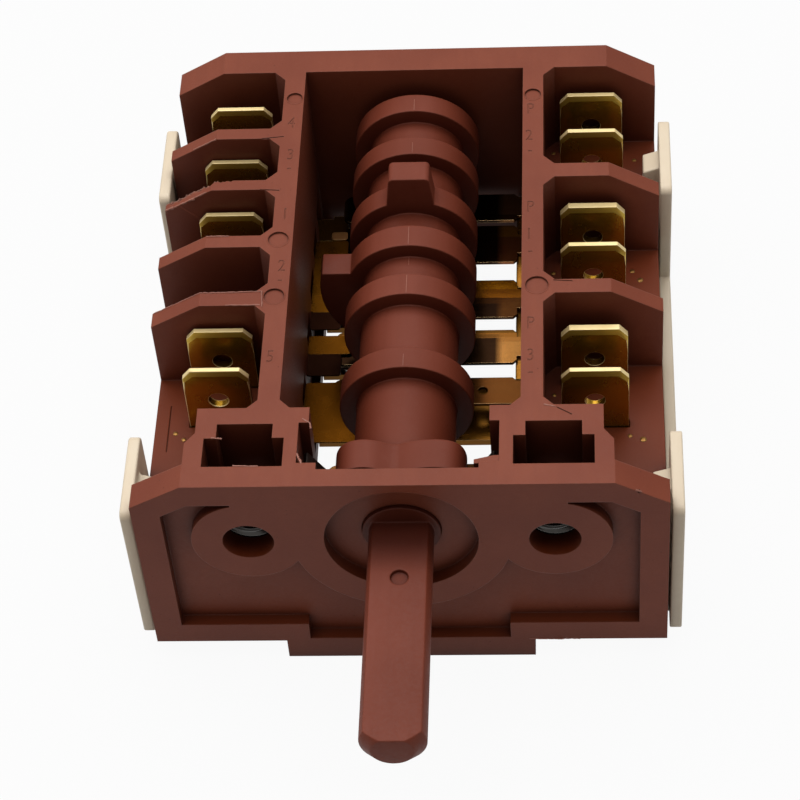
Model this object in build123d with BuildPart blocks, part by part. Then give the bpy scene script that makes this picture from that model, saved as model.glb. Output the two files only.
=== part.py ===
from build123d import *
import math
import os

# Oven selector switch, in millimetres. X runs to the right, Y into the switch
# and Z up towards the terminal blades. The spindle axis is x = 0, z = 0, and the
# rim that seats on the oven's panel is the plane y = 0.

# Housing outline
bay_width = 11.28
top_height = 8.05
corner_run = 4.92
corner_drop = 2.92
base_room = 2.5
front_plate = 2.7
back_plate = 3.1
rear_face = 56.8
floor_top = -2.6
floor_thickness = 1.8
rib_inner = 11.0
rib_thickness = 2.05
web_fillet = 1.1

# Partitions between the terminal bays: depth of the front face, thickness
left_partitions = [(21.85, 1.7), (29.4, 1.5), (37.1, 1.3), (44.2, 1.4)]
right_partitions = [(22.9, 1.7), (38.2, 1.8)]

# Front face: screw bosses, hub pad, spindle pocket, recess and tongue
screw_spacing = 28.0
screw_hole_radius = 2.375
boss_radius = 5.25
hub_pad_radius = 10.1
pocket_radius = 7.05
pocket_depth = 1.3
recess_depth = 1.2
rim_width = 2.65
recess_margin = 0.1
recess_corner = 19.1
tongue_half_width = 11.85
tongue_drop = 2.6
tongue_rim = 2.3
hub_relief_half = 7.3
hub_relief_depth = 0.75
hub_relief_low = 5.6

# Nut boxes behind the front plate, for a hexagon nut to M4
nut_across_flats = 7.0
nut_height = 3.2
nut_bore_radius = 1.65
nut_clearance = 0.15
nut_wall = 2.35
box_inner = 9.1
box_outer = 18.5
box_foot = 0.9
box_foot_depth = 5.1
box_foot_run = 1.2
box_web = 0.95
cross_wall = 1.8
star_room = 0.4
cross_wall_inner = 8.2
box_low = -6.2
bolt_tunnel_half = 2.55
bolt_tunnel_end = 7.3

# Camshaft and spindle, one moulding
spindle_radius = 3.0
spindle_flat = 1.6
spindle_reach = 22.7
tip_radius = 1.9
tip_length = 1.0
dimple_depth_from_panel = 5.1
dimple_radius = 0.55
collar_radius = 3.6
collar_front = 0.9
journal_radius = 3.0
running_clearance = 0.05
end_float = 0.3
core_radius = 4.75
cam_radius = 6.35
lobe_reach = 9.4
lobe_top_width = 3.9
lobe_base_width = 4.9
lobe_corner = 0.5
broad_lobe_reach = 9.0
broad_lobe_angle = 38.0
star_front = 3.7
star_length = 3.3
star_mean = 6.45
star_swing = 1.05
star_lobes = 4

# Cams: depth of the front face, thickness, lobe angle from straight up seen
# from the front, anticlockwise, and whether the lobe is a broad one
cams = [
    (49.5, 2.4, 180, False),
    (43.4, 2.4, 180, False),
    (36.75, 2.45, 0, False),
    (30.9, 2.7, 90, True),
    (24.6, 2.6, 180, False),
    (15.4, 2.5, 180, False),
]

# Moving contact blades, under the cams: depth of the middle, width
blade_rows = [(51.3, 3.8), (46.0, 5.2), (38.3, 5.1), (31.8, 4.4), (25.95, 3.4), (15.3, 2.6)]
blade_thickness = 0.35
blade_neck = 2.6
blade_tip = 8.3
blade_gap = 0.2
blade_tip_corner = 1.0
blade_shoulder = 0.4
holed_blade = 5
blade_hole_radius = 0.5
blade_hole_place = 6.7

# Fixed contacts, under the moving blades: depth of the middle, width, neck middle
plate_rows = [
    (50.95, 4.1, 50.95),
    (45.6, 5.3, 45.3),
    (39.6, 5.2, 39.5),
    (33.2, 5.2, 33.2),
    (25.55, 7.5, 25.2),
    (15.9, 4.6, 15.9),
]
plate_inner = 5.4
plate_neck = 3.2
strip_thickness = 0.8
through_plate = 4

# Contact buttons, brazed on the strips face to face
button_radius = 1.0
button_height = 0.5
button_place = 7.1
contact_travel = 1.35

# Terminal blades, 6.3 by 0.8
tab_width = 6.3
tab_thickness = 0.8
tab_setback = 4.75
tab_top = 5.3
tab_tip_run = 0.8
tab_tip_drop = 1.0
tab_hole_radius = 0.95
tab_hole_drop = 4.0
slot_clearance = 0.1
left_tabs = [51.4, 43.8, 36.5, None, 21.2, 16.3]
right_tabs = [(47.3, 52.5), (31.7, 36.8), (15.7, 20.85)]
spine_gap = 0.35
spine_width = 1.2
arm_overhang = 0.4
window_top = -7.5
window_clearance = 0.15
seat_clearance = 0.05
lip_width = 0.9
lip_height = 2.0

# Detent springs, leaves beside the star wheel
leaf_thickness = 0.4
leaf_width = 2.6
leaf_nose = 1.4
leaf_half_height = 5.1
leaf_spread = 3.0
leaf_seat = 0.06
ledge_inner = 7.6
ledge_height = 0.8
notch_front = 2.95

# Side covers
cover_gap = 0.25
cover_thickness = 1.15
cover_front = 1.1
cover_back = 51.6
cover_ear_top = 2.6
cover_waist = -10.1
front_ear_end = 10.8
rear_ear_start = 41.4
cover_corner = 0.8
flange_thickness = 1.2
flange_gap = 0.3
flange_lift = 0.15
hook_reach = 1.6
hook_height = 3.2
hook_rise = 0.6
hooks = [(4.6, 2.6), (45.85, 2.6)]
press_rib = 1.6
press_rib_place = 16.2
press_rib_end = 0.6

# Sizes that follow from the ones above
rib_outer = rib_inner + rib_thickness
half_width = rib_outer + bay_width
tab_centre = rib_outer + tab_setback
arm_end = rib_inner - arm_overhang
rear_inner = rear_face - back_plate
box_middle = screw_spacing / 2
recess_top = boss_radius + recess_margin
nut_half = nut_across_flats / 2 + nut_clearance
nut_corner = nut_across_flats / math.sqrt(3)
nut_back = nut_wall + nut_height + 2 * seat_clearance
core_front = star_front + star_length
core_back = rear_inner - end_float
box_depth = core_front + star_room + cross_wall
blade_top = -(lobe_reach + blade_gap)
blade_bottom = blade_top - blade_thickness
arm_bottom = blade_bottom - strip_thickness
plate_top = blade_bottom - 2 * button_height - contact_travel
plate_bottom = plate_top - strip_thickness
base_depth = base_room - plate_bottom
floor_bottom = floor_top - floor_thickness
spine_inner = rib_outer + spine_gap
spine_outer = spine_inner + spine_width
tab_inner = tab_centre - tab_width / 2
tab_outer = tab_centre + tab_width / 2
cover_inner = half_width + cover_gap
cover_outer = cover_inner + cover_thickness
flange_low = flange_lift - base_depth
flange_top = flange_low + flange_thickness
star_valley = star_mean - star_swing


def across(y):
    """Plane facing the front at depth y, with X and Z as its own axes."""
    return Plane.XZ.offset(-y)


def panel(plane, u, v):
    """Rectangle between two limits along each of a plane's own axes."""
    with BuildSketch(plane) as sketch:
        with Locations(((u[0] + u[1]) / 2, (v[0] + v[1]) / 2)):
            Rectangle(abs(u[1] - u[0]), abs(v[1] - v[0]))
    return sketch.sketch


def polygon(plane, *points):
    """Filled polygon on a plane."""
    with BuildSketch(plane) as sketch:
        with BuildLine():
            Polyline(*points, close=True)
        make_face()
    return sketch.sketch


def plate_outline(y, tongue):
    """Outline of the front or back plate, its top corners cut."""
    right = [
        (half_width, -base_depth),
        (half_width, top_height - corner_drop),
        (half_width - corner_run, top_height),
    ]
    if tongue:
        right = [
            (tongue_half_width, -base_depth - tongue_drop),
            (tongue_half_width, -base_depth),
        ] + right
    left = [(-x, z) for x, z in reversed(right)]
    return polygon(across(y), *right, *left)


def partition_outline(y, side):
    """Outline of a partition from its rib out to the housing's side."""
    return polygon(
        across(y),
        (side * rib_inner, floor_bottom),
        (side * half_width, floor_bottom),
        (side * half_width, top_height - corner_drop),
        (side * (half_width - corner_run), top_height),
        (side * rib_inner, top_height),
    )


def front_recess():
    """Recess in the front face, with the bosses and the hub pad left standing."""
    low = rim_width - base_depth
    inner = half_width - rim_width
    slope = corner_drop / corner_run
    tongue_inner = tongue_half_width - tongue_rim
    tongue_low = low - tongue_rim
    right = [
        (tongue_inner, tongue_low),
        (tongue_inner, low),
        (inner, low),
        (inner, recess_top - slope * (inner - recess_corner)),
        (recess_corner, recess_top),
    ]
    left = [(-x, z) for x, z in reversed(right)]
    with BuildSketch(across(0)) as sketch:
        with BuildLine():
            Polyline(*right, *left, close=True)
        make_face()
        with Locations((-box_middle, 0), (box_middle, 0)):
            Circle(boss_radius, mode=Mode.SUBTRACT)
        Circle(hub_pad_radius, mode=Mode.SUBTRACT)
    return sketch.sketch


def nut_box_outline(side):
    """Plan of a nut box, with its splayed foot and its inner hook."""
    back = box_depth - cross_wall
    return polygon(
        Plane.XY.offset(box_low),
        (side * box_inner, front_plate / 2),
        (side * (box_outer + box_foot), front_plate / 2),
        (side * (box_outer + box_foot), box_foot_depth),
        (side * box_outer, box_foot_depth + box_foot_run),
        (side * box_outer, box_depth),
        (side * cross_wall_inner, box_depth),
        (side * cross_wall_inner, back),
        (side * box_inner, back),
    )


def window_spans():
    """Each opening through a rib: its side, its limits in Y and its low edge."""
    half_right = blade_neck / 2 + window_clearance
    half_left = plate_neck / 2 + window_clearance
    right = [(1, y - half_right, y + half_right, arm_bottom - seat_clearance) for y, _ in blade_rows]
    left = [(-1, y - half_left, y + half_left, plate_bottom - seat_clearance) for _, _, y in plate_rows]
    return right + left


def tab_slot(side, y):
    """Opening in the floor that a terminal blade stands in."""
    half = tab_thickness / 2 + slot_clearance
    low = tab_inner - slot_clearance
    high = tab_outer + slot_clearance
    return panel(Plane.XY.offset(floor_top), (side * low, side * high), (y - half, y + half))


with BuildPart() as housing:
    # Plates, ribs, floor and partitions
    extrude(plate_outline(0, True), amount=-front_plate)
    extrude(plate_outline(rear_inner, False), amount=-back_plate)
    for side in (-1, 1):
        rib = (side * rib_inner, side * rib_outer)
        lower = Plane.XY.offset(-base_depth)
        extrude(panel(lower, rib, (box_depth - cross_wall, rear_inner)), amount=base_depth + top_height)
        extrude(panel(lower, rib, (front_plate, box_depth)), amount=base_depth + box_low)
        lip = (side * (rib_inner - lip_width), side * rib_inner)
        extrude(panel(lower, lip, (box_depth, rear_inner)), amount=lip_height)
        bay_floor = (side * rib_inner, side * half_width)
        extrude(panel(Plane.XY.offset(floor_bottom), bay_floor, (front_plate, rear_inner)), amount=floor_thickness)
    for y, thickness in left_partitions:
        extrude(partition_outline(y, -1), amount=-thickness)
    for y, thickness in right_partitions:
        extrude(partition_outline(y, 1), amount=-thickness)

    # Rounded inner corners where a partition or a plate meets a rib
    corners = housing.edges().filter_by(Axis.Z).filter_by(
        lambda e: abs(abs(e.center().X) - rib_outer) < 0.01 and e.center().Z > floor_top and e.center().Y > box_depth
    )
    chamfer(corners, length=web_fillet)

    # Nut boxes and the ledges that carry the detent springs
    for side in (-1, 1):
        extrude(nut_box_outline(side), amount=top_height - box_low)
        for wall, way in ((side * rib_inner, -side), (side * rib_outer, side)):
            web = polygon(
                Plane.XY.offset(box_low),
                (wall, box_depth),
                (wall + way * box_web, box_depth),
                (wall, box_depth + box_web),
            )
            extrude(web, amount=top_height - box_low)
        ledge = (side * ledge_inner, side * box_inner)
        ledge_depth = (front_plate / 2, box_depth - cross_wall)
        extrude(panel(Plane.XY.offset(box_low), ledge, ledge_depth), amount=ledge_height)
        nut_slot = (side * (box_middle - nut_half), side * (box_middle + nut_half))
        nut_floor = -nut_corner - seat_clearance
        slot_plan = panel(Plane.XY.offset(nut_floor), nut_slot, (nut_wall, nut_back))
        extrude(slot_plan, amount=top_height - nut_floor, mode=Mode.SUBTRACT)
        tunnel = (side * (box_middle - bolt_tunnel_half), side * (box_middle + bolt_tunnel_half))
        tunnel_plan = panel(Plane.XY.offset(-bolt_tunnel_half), tunnel, (nut_back, bolt_tunnel_end))
        extrude(tunnel_plan, amount=top_height + bolt_tunnel_half, mode=Mode.SUBTRACT)

    # Front face
    extrude(front_recess(), amount=-recess_depth, mode=Mode.SUBTRACT)
    with BuildSketch(across(0)) as pocket:
        Circle(pocket_radius)
    extrude(pocket.sketch, amount=-pocket_depth, mode=Mode.SUBTRACT)
    with BuildSketch(across(0)) as screw_holes:
        with Locations((-box_middle, 0), (box_middle, 0)):
            Circle(screw_hole_radius)
    extrude(screw_holes.sketch, amount=-nut_wall, mode=Mode.SUBTRACT)

    # Relief in the back of the front plate, over the star wheel
    relief_width = (-hub_relief_half, hub_relief_half)
    relief_depth = (front_plate - hub_relief_depth, front_plate)
    relief_plan = panel(Plane.XY.offset(hub_relief_low), relief_width, relief_depth)
    extrude(relief_plan, amount=top_height - hub_relief_low, mode=Mode.SUBTRACT)

    # Bearings of the camshaft
    with BuildSketch(across(0)) as front_bearing:
        Circle(collar_radius + running_clearance)
    extrude(front_bearing.sketch, amount=-front_plate, mode=Mode.SUBTRACT)
    with BuildSketch(across(rear_inner)) as rear_bearing:
        Circle(journal_radius + running_clearance)
    extrude(rear_bearing.sketch, amount=-back_plate, mode=Mode.SUBTRACT)

    # Openings for the contacts and the terminal blades
    for side, front, back, low in window_spans():
        window = panel(Plane.XY.offset(low), (side * rib_inner, side * rib_outer), (front, back))
        extrude(window, amount=window_top - low, mode=Mode.SUBTRACT)
    for y in left_tabs:
        if y is not None:
            extrude(tab_slot(-1, y), amount=-floor_thickness, mode=Mode.SUBTRACT)
    for pair in right_tabs:
        for y in pair:
            extrude(tab_slot(1, y), amount=-floor_thickness, mode=Mode.SUBTRACT)


def star_outline():
    """Star wheel of the detent: a ring of round lobes with a valley straight up."""
    steps = 4 * star_lobes
    points = []
    for step in range(steps):
        angle = 2 * math.pi * step / steps
        radius = star_mean - star_swing * math.cos(star_lobes * angle)
        points.append((radius * math.sin(angle), radius * math.cos(angle)))
    with BuildSketch(across(star_front)) as sketch:
        with BuildLine():
            Spline(*points, periodic=True)
        make_face()
    return sketch.sketch


def narrow_lobe(y, angle):
    """Cam lobe with straight flanks and a flat top."""
    with BuildSketch(across(y).rotated((0, -angle, 0))) as sketch:
        with BuildLine():
            Polyline(
                (-lobe_base_width / 2, core_radius),
                (-lobe_top_width / 2, lobe_reach),
                (lobe_top_width / 2, lobe_reach),
                (lobe_base_width / 2, core_radius),
                close=True,
            )
        make_face()
        fillet(sketch.vertices().group_by(Axis.Y)[-1], radius=lobe_corner)
    return sketch.sketch


def broad_lobe(y, angle):
    """Cam lobe with one straight flank, a round dwell and a sloping back."""
    half = lobe_base_width / 2
    start = math.degrees(math.asin(half / broad_lobe_reach))
    middle = math.radians((broad_lobe_angle - start) / 2)
    end = math.radians(broad_lobe_angle)
    with BuildSketch(across(y).rotated((0, -angle, 0))) as sketch:
        with BuildLine():
            flank = Line((half, core_radius), (half, broad_lobe_reach * math.cos(math.radians(start))))
            dwell_middle = (-broad_lobe_reach * math.sin(middle), broad_lobe_reach * math.cos(middle))
            dwell_end = (-broad_lobe_reach * math.sin(end), broad_lobe_reach * math.cos(end))
            ThreePointArc(flank @ 1, dwell_middle, dwell_end)
            Polyline(dwell_end, (-cam_radius, 0), (0, 0), flank @ 0)
        make_face()
    return sketch.sketch


with BuildPart() as camshaft:
    # Turned form: spindle, collar, core, cams and rear journal
    with BuildSketch(Plane.XY) as half_section:
        with BuildLine():
            section = [
                (0, -spindle_reach),
                (tip_radius, -spindle_reach),
                (spindle_radius, tip_length - spindle_reach),
                (spindle_radius, collar_front),
                (collar_radius, collar_front),
                (collar_radius, core_front),
                (core_radius, core_front),
            ]
            for front, thickness, _, _ in reversed(cams):
                back = front + thickness
                section += [
                    (core_radius, front),
                    (cam_radius, front),
                    (cam_radius, back),
                    (core_radius, back),
                ]
            section += [
                (core_radius, core_back),
                (journal_radius, core_back),
                (journal_radius, rear_face - running_clearance),
                (0, rear_face - running_clearance),
            ]
            Polyline(*section, close=True)
        make_face()
    revolve(half_section.sketch, axis=Axis.Y)

    # Star wheel and cam lobes
    extrude(star_outline(), amount=-star_length)
    for front, thickness, angle, broad in cams:
        lobe = broad_lobe(front, angle) if broad else narrow_lobe(front, angle)
        extrude(lobe, amount=-thickness)

    # Flat along the spindle, with the gate mark near the panel
    flat_plan = panel(Plane.XY.offset(spindle_flat), (-spindle_radius, spindle_radius), (-spindle_reach, collar_front))
    extrude(flat_plan, amount=spindle_radius, mode=Mode.SUBTRACT)
    with BuildSketch(Plane.XY.offset(spindle_flat)) as dimple:
        with Locations((0, -dimple_depth_from_panel)):
            Circle(dimple_radius)
    extrude(dimple.sketch, amount=-dimple_radius / 2, mode=Mode.SUBTRACT)


def tab_outline(side, y, foot):
    """Terminal blade seen from the front, with its cut corners and its hole."""
    inner = side * tab_inner
    outer = side * tab_outer
    with BuildSketch(across(y - tab_thickness / 2)) as sketch:
        with BuildLine():
            Polyline(
                (inner, foot),
                (inner, tab_top - tab_tip_drop),
                (inner + side * tab_tip_run, tab_top),
                (outer - side * tab_tip_run, tab_top),
                (outer, tab_top - tab_tip_drop),
                (outer, foot),
                close=True,
            )
        make_face()
        with Locations((side * tab_centre, tab_top - tab_hole_drop)):
            Circle(tab_hole_radius, mode=Mode.SUBTRACT)
    return sketch.sketch


pieces = [("housing", housing), ("camshaft", camshaft)]

# Right-hand terminals: a strip under the floor joins two blades and feeds two rows
line_names = ["line_terminal_rear", "line_terminal_middle", "line_terminal_front"]
for name, tabs, rows in zip(line_names, right_tabs, (blade_rows[0:2], blade_rows[2:4], blade_rows[4:6])):
    half_neck = blade_neck / 2
    low = Plane.XY.offset(arm_bottom)
    necks = [(y - half_neck, y + half_neck) for y, _ in rows]
    tab_ends = (min(tabs) - tab_thickness / 2, max(tabs) + tab_thickness / 2)
    spine_ends = (min(tab_ends[0], necks[1][0]), max(tab_ends[1], necks[0][1]))
    with BuildPart() as line_terminal:
        extrude(panel(low, (spine_inner, tab_outer), tab_ends), amount=strip_thickness)
        extrude(panel(low, (spine_inner, spine_outer), spine_ends), amount=strip_thickness)
        for neck in necks:
            extrude(panel(low, (arm_end, spine_outer), neck), amount=strip_thickness)
        for y in tabs:
            extrude(tab_outline(1, y, arm_bottom), amount=-tab_thickness)
    pieces.append((name, line_terminal))

# Left-hand contacts: a plate in the channel, a neck through the rib and a blade
load_names = [
    "load_terminal_1",
    "load_terminal_2",
    "load_terminal_3",
    "blank_contact_4",
    "load_terminal_5",
    "load_terminal_6",
]
for index, (name, tab, (middle, width, neck)) in enumerate(zip(load_names, left_tabs, plate_rows)):
    low = Plane.XY.offset(plate_bottom)
    shelf = (neck - plate_neck / 2, neck + plate_neck / 2)
    if tab is not None:
        tab_front = tab - tab_thickness / 2
        tab_back = tab + tab_thickness / 2
        foot = (min(shelf[0], tab_front), max(shelf[1], tab_back))
    else:
        foot = shelf
    plate_end = arm_end - lip_width if index == through_plate else -plate_inner
    plate_start = lip_width - arm_end
    with BuildPart() as load_terminal:
        extrude(panel(low, (plate_start, plate_end), (middle - width / 2, middle + width / 2)), amount=strip_thickness)
        extrude(panel(low, (-spine_outer, plate_start), shelf), amount=strip_thickness)
        extrude(panel(low, (-tab_outer, -spine_inner), foot), amount=strip_thickness)
        if tab is not None:
            extrude(tab_outline(-1, tab, plate_bottom), amount=-tab_thickness)
    pieces.append((name, load_terminal))


# Moving contact blades, each with its contact button
for number, (middle, width) in enumerate(blade_rows, start=1):
    neck_end = spine_outer - seat_clearance
    wide_start = rib_inner - lip_width - seat_clearance
    with BuildPart() as blade:
        with BuildSketch(Plane.XY.offset(blade_bottom)) as plan:
            with Locations(((wide_start - blade_tip) / 2, middle)):
                Rectangle(wide_start + blade_tip, width)
            fillet(plan.vertices().group_by(Axis.X)[0], radius=blade_tip_corner)
            chamfer(plan.vertices().group_by(Axis.X)[-1], length=blade_shoulder)
            with Locations((neck_end / 2, middle)):
                Rectangle(neck_end, blade_neck)
            if number == holed_blade:
                with Locations((blade_hole_place, middle)):
                    Circle(blade_hole_radius, mode=Mode.SUBTRACT)
        extrude(plan.sketch, amount=blade_thickness)
    pieces.append((f"contact_blade_{number}", blade))

    with BuildPart() as moving_button:
        with BuildSketch(Plane.XY.offset(blade_bottom)) as button_face:
            with Locations((-button_place, middle)):
                Circle(button_radius)
        extrude(button_face.sketch, amount=-button_height)
    pieces.append((f"contact_button_{number}", moving_button))

with BuildPart() as fixed_buttons:
    with BuildSketch(Plane.XY.offset(plate_top)) as button_faces:
        with Locations(*[(-button_place, middle) for middle, _ in blade_rows]):
            Circle(button_radius)
    extrude(button_faces.sketch, amount=button_height)
pieces.append(("fixed_buttons", fixed_buttons))

# Nuts that take the panel screws
with BuildPart() as panel_nuts:
    with BuildSketch(across(nut_wall + seat_clearance)) as nut_outline:
        with Locations((-box_middle, 0), (box_middle, 0)):
            RegularPolygon(nut_across_flats / 2, 6, major_radius=False, rotation=30)
            Circle(nut_bore_radius, mode=Mode.SUBTRACT)
    extrude(nut_outline.sketch, amount=-nut_height)
pieces.append(("panel_nuts", panel_nuts))

# Detent springs, with a round nose in the star's side valleys
for name, side in (("detent_spring_left", -1), ("detent_spring_right", 1)):
    nose_inner = star_valley + leaf_seat + leaf_thickness / 2
    nose_middle = nose_inner + leaf_nose
    leg_end = nose_inner + leaf_spread
    with BuildPart() as detent_spring:
        with BuildSketch(across(notch_front + (star_front + star_length - notch_front - leaf_width) / 2)) as leaf:
            with BuildLine() as bow:
                nose_reach = leaf_nose * math.sin(math.radians(50))
                nose_edge = nose_middle - leaf_nose * math.cos(math.radians(50))
                ThreePointArc(
                    (side * nose_edge, nose_reach),
                    (side * nose_inner, 0),
                    (side * nose_edge, -nose_reach),
                )
                Line((side * nose_edge, nose_reach), (side * leg_end, leaf_half_height))
                Line((side * nose_edge, -nose_reach), (side * leg_end, -leaf_half_height))
            trace(bow.line, line_width=leaf_thickness)
        extrude(leaf.sketch, amount=-leaf_width)
    pieces.append((name, detent_spring))

# Side covers, each clipped over the floor and closed under the contacts
for name, side in (("side_cover_left", -1), ("side_cover_right", 1)):
    contact_low = arm_bottom if side > 0 else plate_bottom
    ribs = [(min(pair), max(pair)) for pair in right_tabs]
    with BuildPart() as side_cover:
        with BuildSketch(Plane.YZ.offset(side * cover_inner)) as cover_side:
            with BuildLine():
                Polyline(
                    (cover_front, flange_low),
                    (cover_front, cover_ear_top),
                    (front_ear_end, cover_ear_top),
                    (front_ear_end, cover_waist),
                    (rear_ear_start, cover_waist),
                    (rear_ear_start, cover_ear_top),
                    (cover_back, cover_ear_top),
                    (cover_back, flange_low),
                    close=True,
                )
            make_face()
            fillet(cover_side.vertices().group_by(Axis.Y)[-1], radius=cover_corner)
        extrude(cover_side.sketch, amount=side * cover_thickness)
        flange = (side * (rib_outer + flange_gap), side * cover_inner)
        flange_depth = (front_plate + flange_gap, rear_inner - flange_gap)
        extrude(panel(Plane.XY.offset(flange_low), flange, flange_depth), amount=flange_thickness)
        rib_span = (side * press_rib_place, side * (press_rib_place + press_rib))
        for front, back in ribs:
            rib_depth = (front - press_rib_end, back + press_rib_end)
            rib_plan = panel(Plane.XY.offset(flange_top), rib_span, rib_depth)
            extrude(rib_plan, amount=contact_low - seat_clearance - flange_top)
        for front, width in hooks:
            hook_outline = polygon(
                across(front),
                (side * cover_inner, floor_top + seat_clearance + hook_height + hook_rise),
                (side * cover_inner, floor_top + seat_clearance),
                (side * (cover_inner - hook_reach), floor_top + seat_clearance),
                (side * (cover_inner - hook_reach), floor_top + seat_clearance + hook_height),
            )
            extrude(hook_outline, amount=-width)
    pieces.append((name, side_cover))

os.makedirs("parts", exist_ok=True)
for name, piece in pieces:
    piece.part.label = name
    export_step(piece.part, f"parts/{name}.step")
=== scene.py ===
"""Looks of an oven selector switch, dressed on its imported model.

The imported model's frame is used as it stands: X to the right, Y into the switch
away from the knob, Z towards the tips of the terminal blades. The switch's own
sizes and places are written in millimetres, and turned into metres where a mesh
or a node takes them. The studio's are in metres where its fields say so.
"""

from __future__ import annotations

import logging
import math
import random
from dataclasses import dataclass, field
from enum import Enum

import bmesh
import bpy
from bmesh.types import BMesh, BMFace, BMVert
from bpy.types import Material, Mesh, Modifier, NodeSocket as Socket, Object as Thing
from mathutils import Matrix, Vector

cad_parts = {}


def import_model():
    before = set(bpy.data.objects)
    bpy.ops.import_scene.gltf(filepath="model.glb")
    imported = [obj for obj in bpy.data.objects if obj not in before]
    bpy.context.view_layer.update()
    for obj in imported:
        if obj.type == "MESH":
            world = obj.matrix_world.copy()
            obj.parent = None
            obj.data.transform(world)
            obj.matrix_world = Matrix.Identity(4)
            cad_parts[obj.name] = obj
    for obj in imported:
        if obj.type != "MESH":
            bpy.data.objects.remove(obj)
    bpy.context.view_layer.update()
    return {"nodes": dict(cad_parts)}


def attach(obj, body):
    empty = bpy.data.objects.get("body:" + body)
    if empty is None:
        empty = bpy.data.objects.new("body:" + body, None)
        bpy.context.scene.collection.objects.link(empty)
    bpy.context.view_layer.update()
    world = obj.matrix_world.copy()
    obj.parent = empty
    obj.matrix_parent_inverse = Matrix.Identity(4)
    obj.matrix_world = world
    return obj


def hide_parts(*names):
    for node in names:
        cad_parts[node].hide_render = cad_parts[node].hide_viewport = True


MM = 0.001
# Heights nearer than TOUCH and corners nearer than MERGE count as one, in millimetres.
TOUCH = 0.01
MERGE = 0.0005
# The numbers of the sockets that a node for mixing colours uses.
MIX_FACTOR = 0
MIX_FIRST = 6
MIX_SECOND = 7
MIX_RESULT = 2
EVEN = (1.0, 1.0, 1.0)
LOG = logging.getLogger("oven_switch")

Colour = tuple[float, float, float]
Point = tuple[float, float, float]
Layer = tuple[object, Colour]
Nodes = dict[str, Thing]


class Body(Enum):
    """Bodies of the switch that a piece can ride on."""

    SWITCH = "switch_body"
    ROTOR = "rotor"


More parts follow.
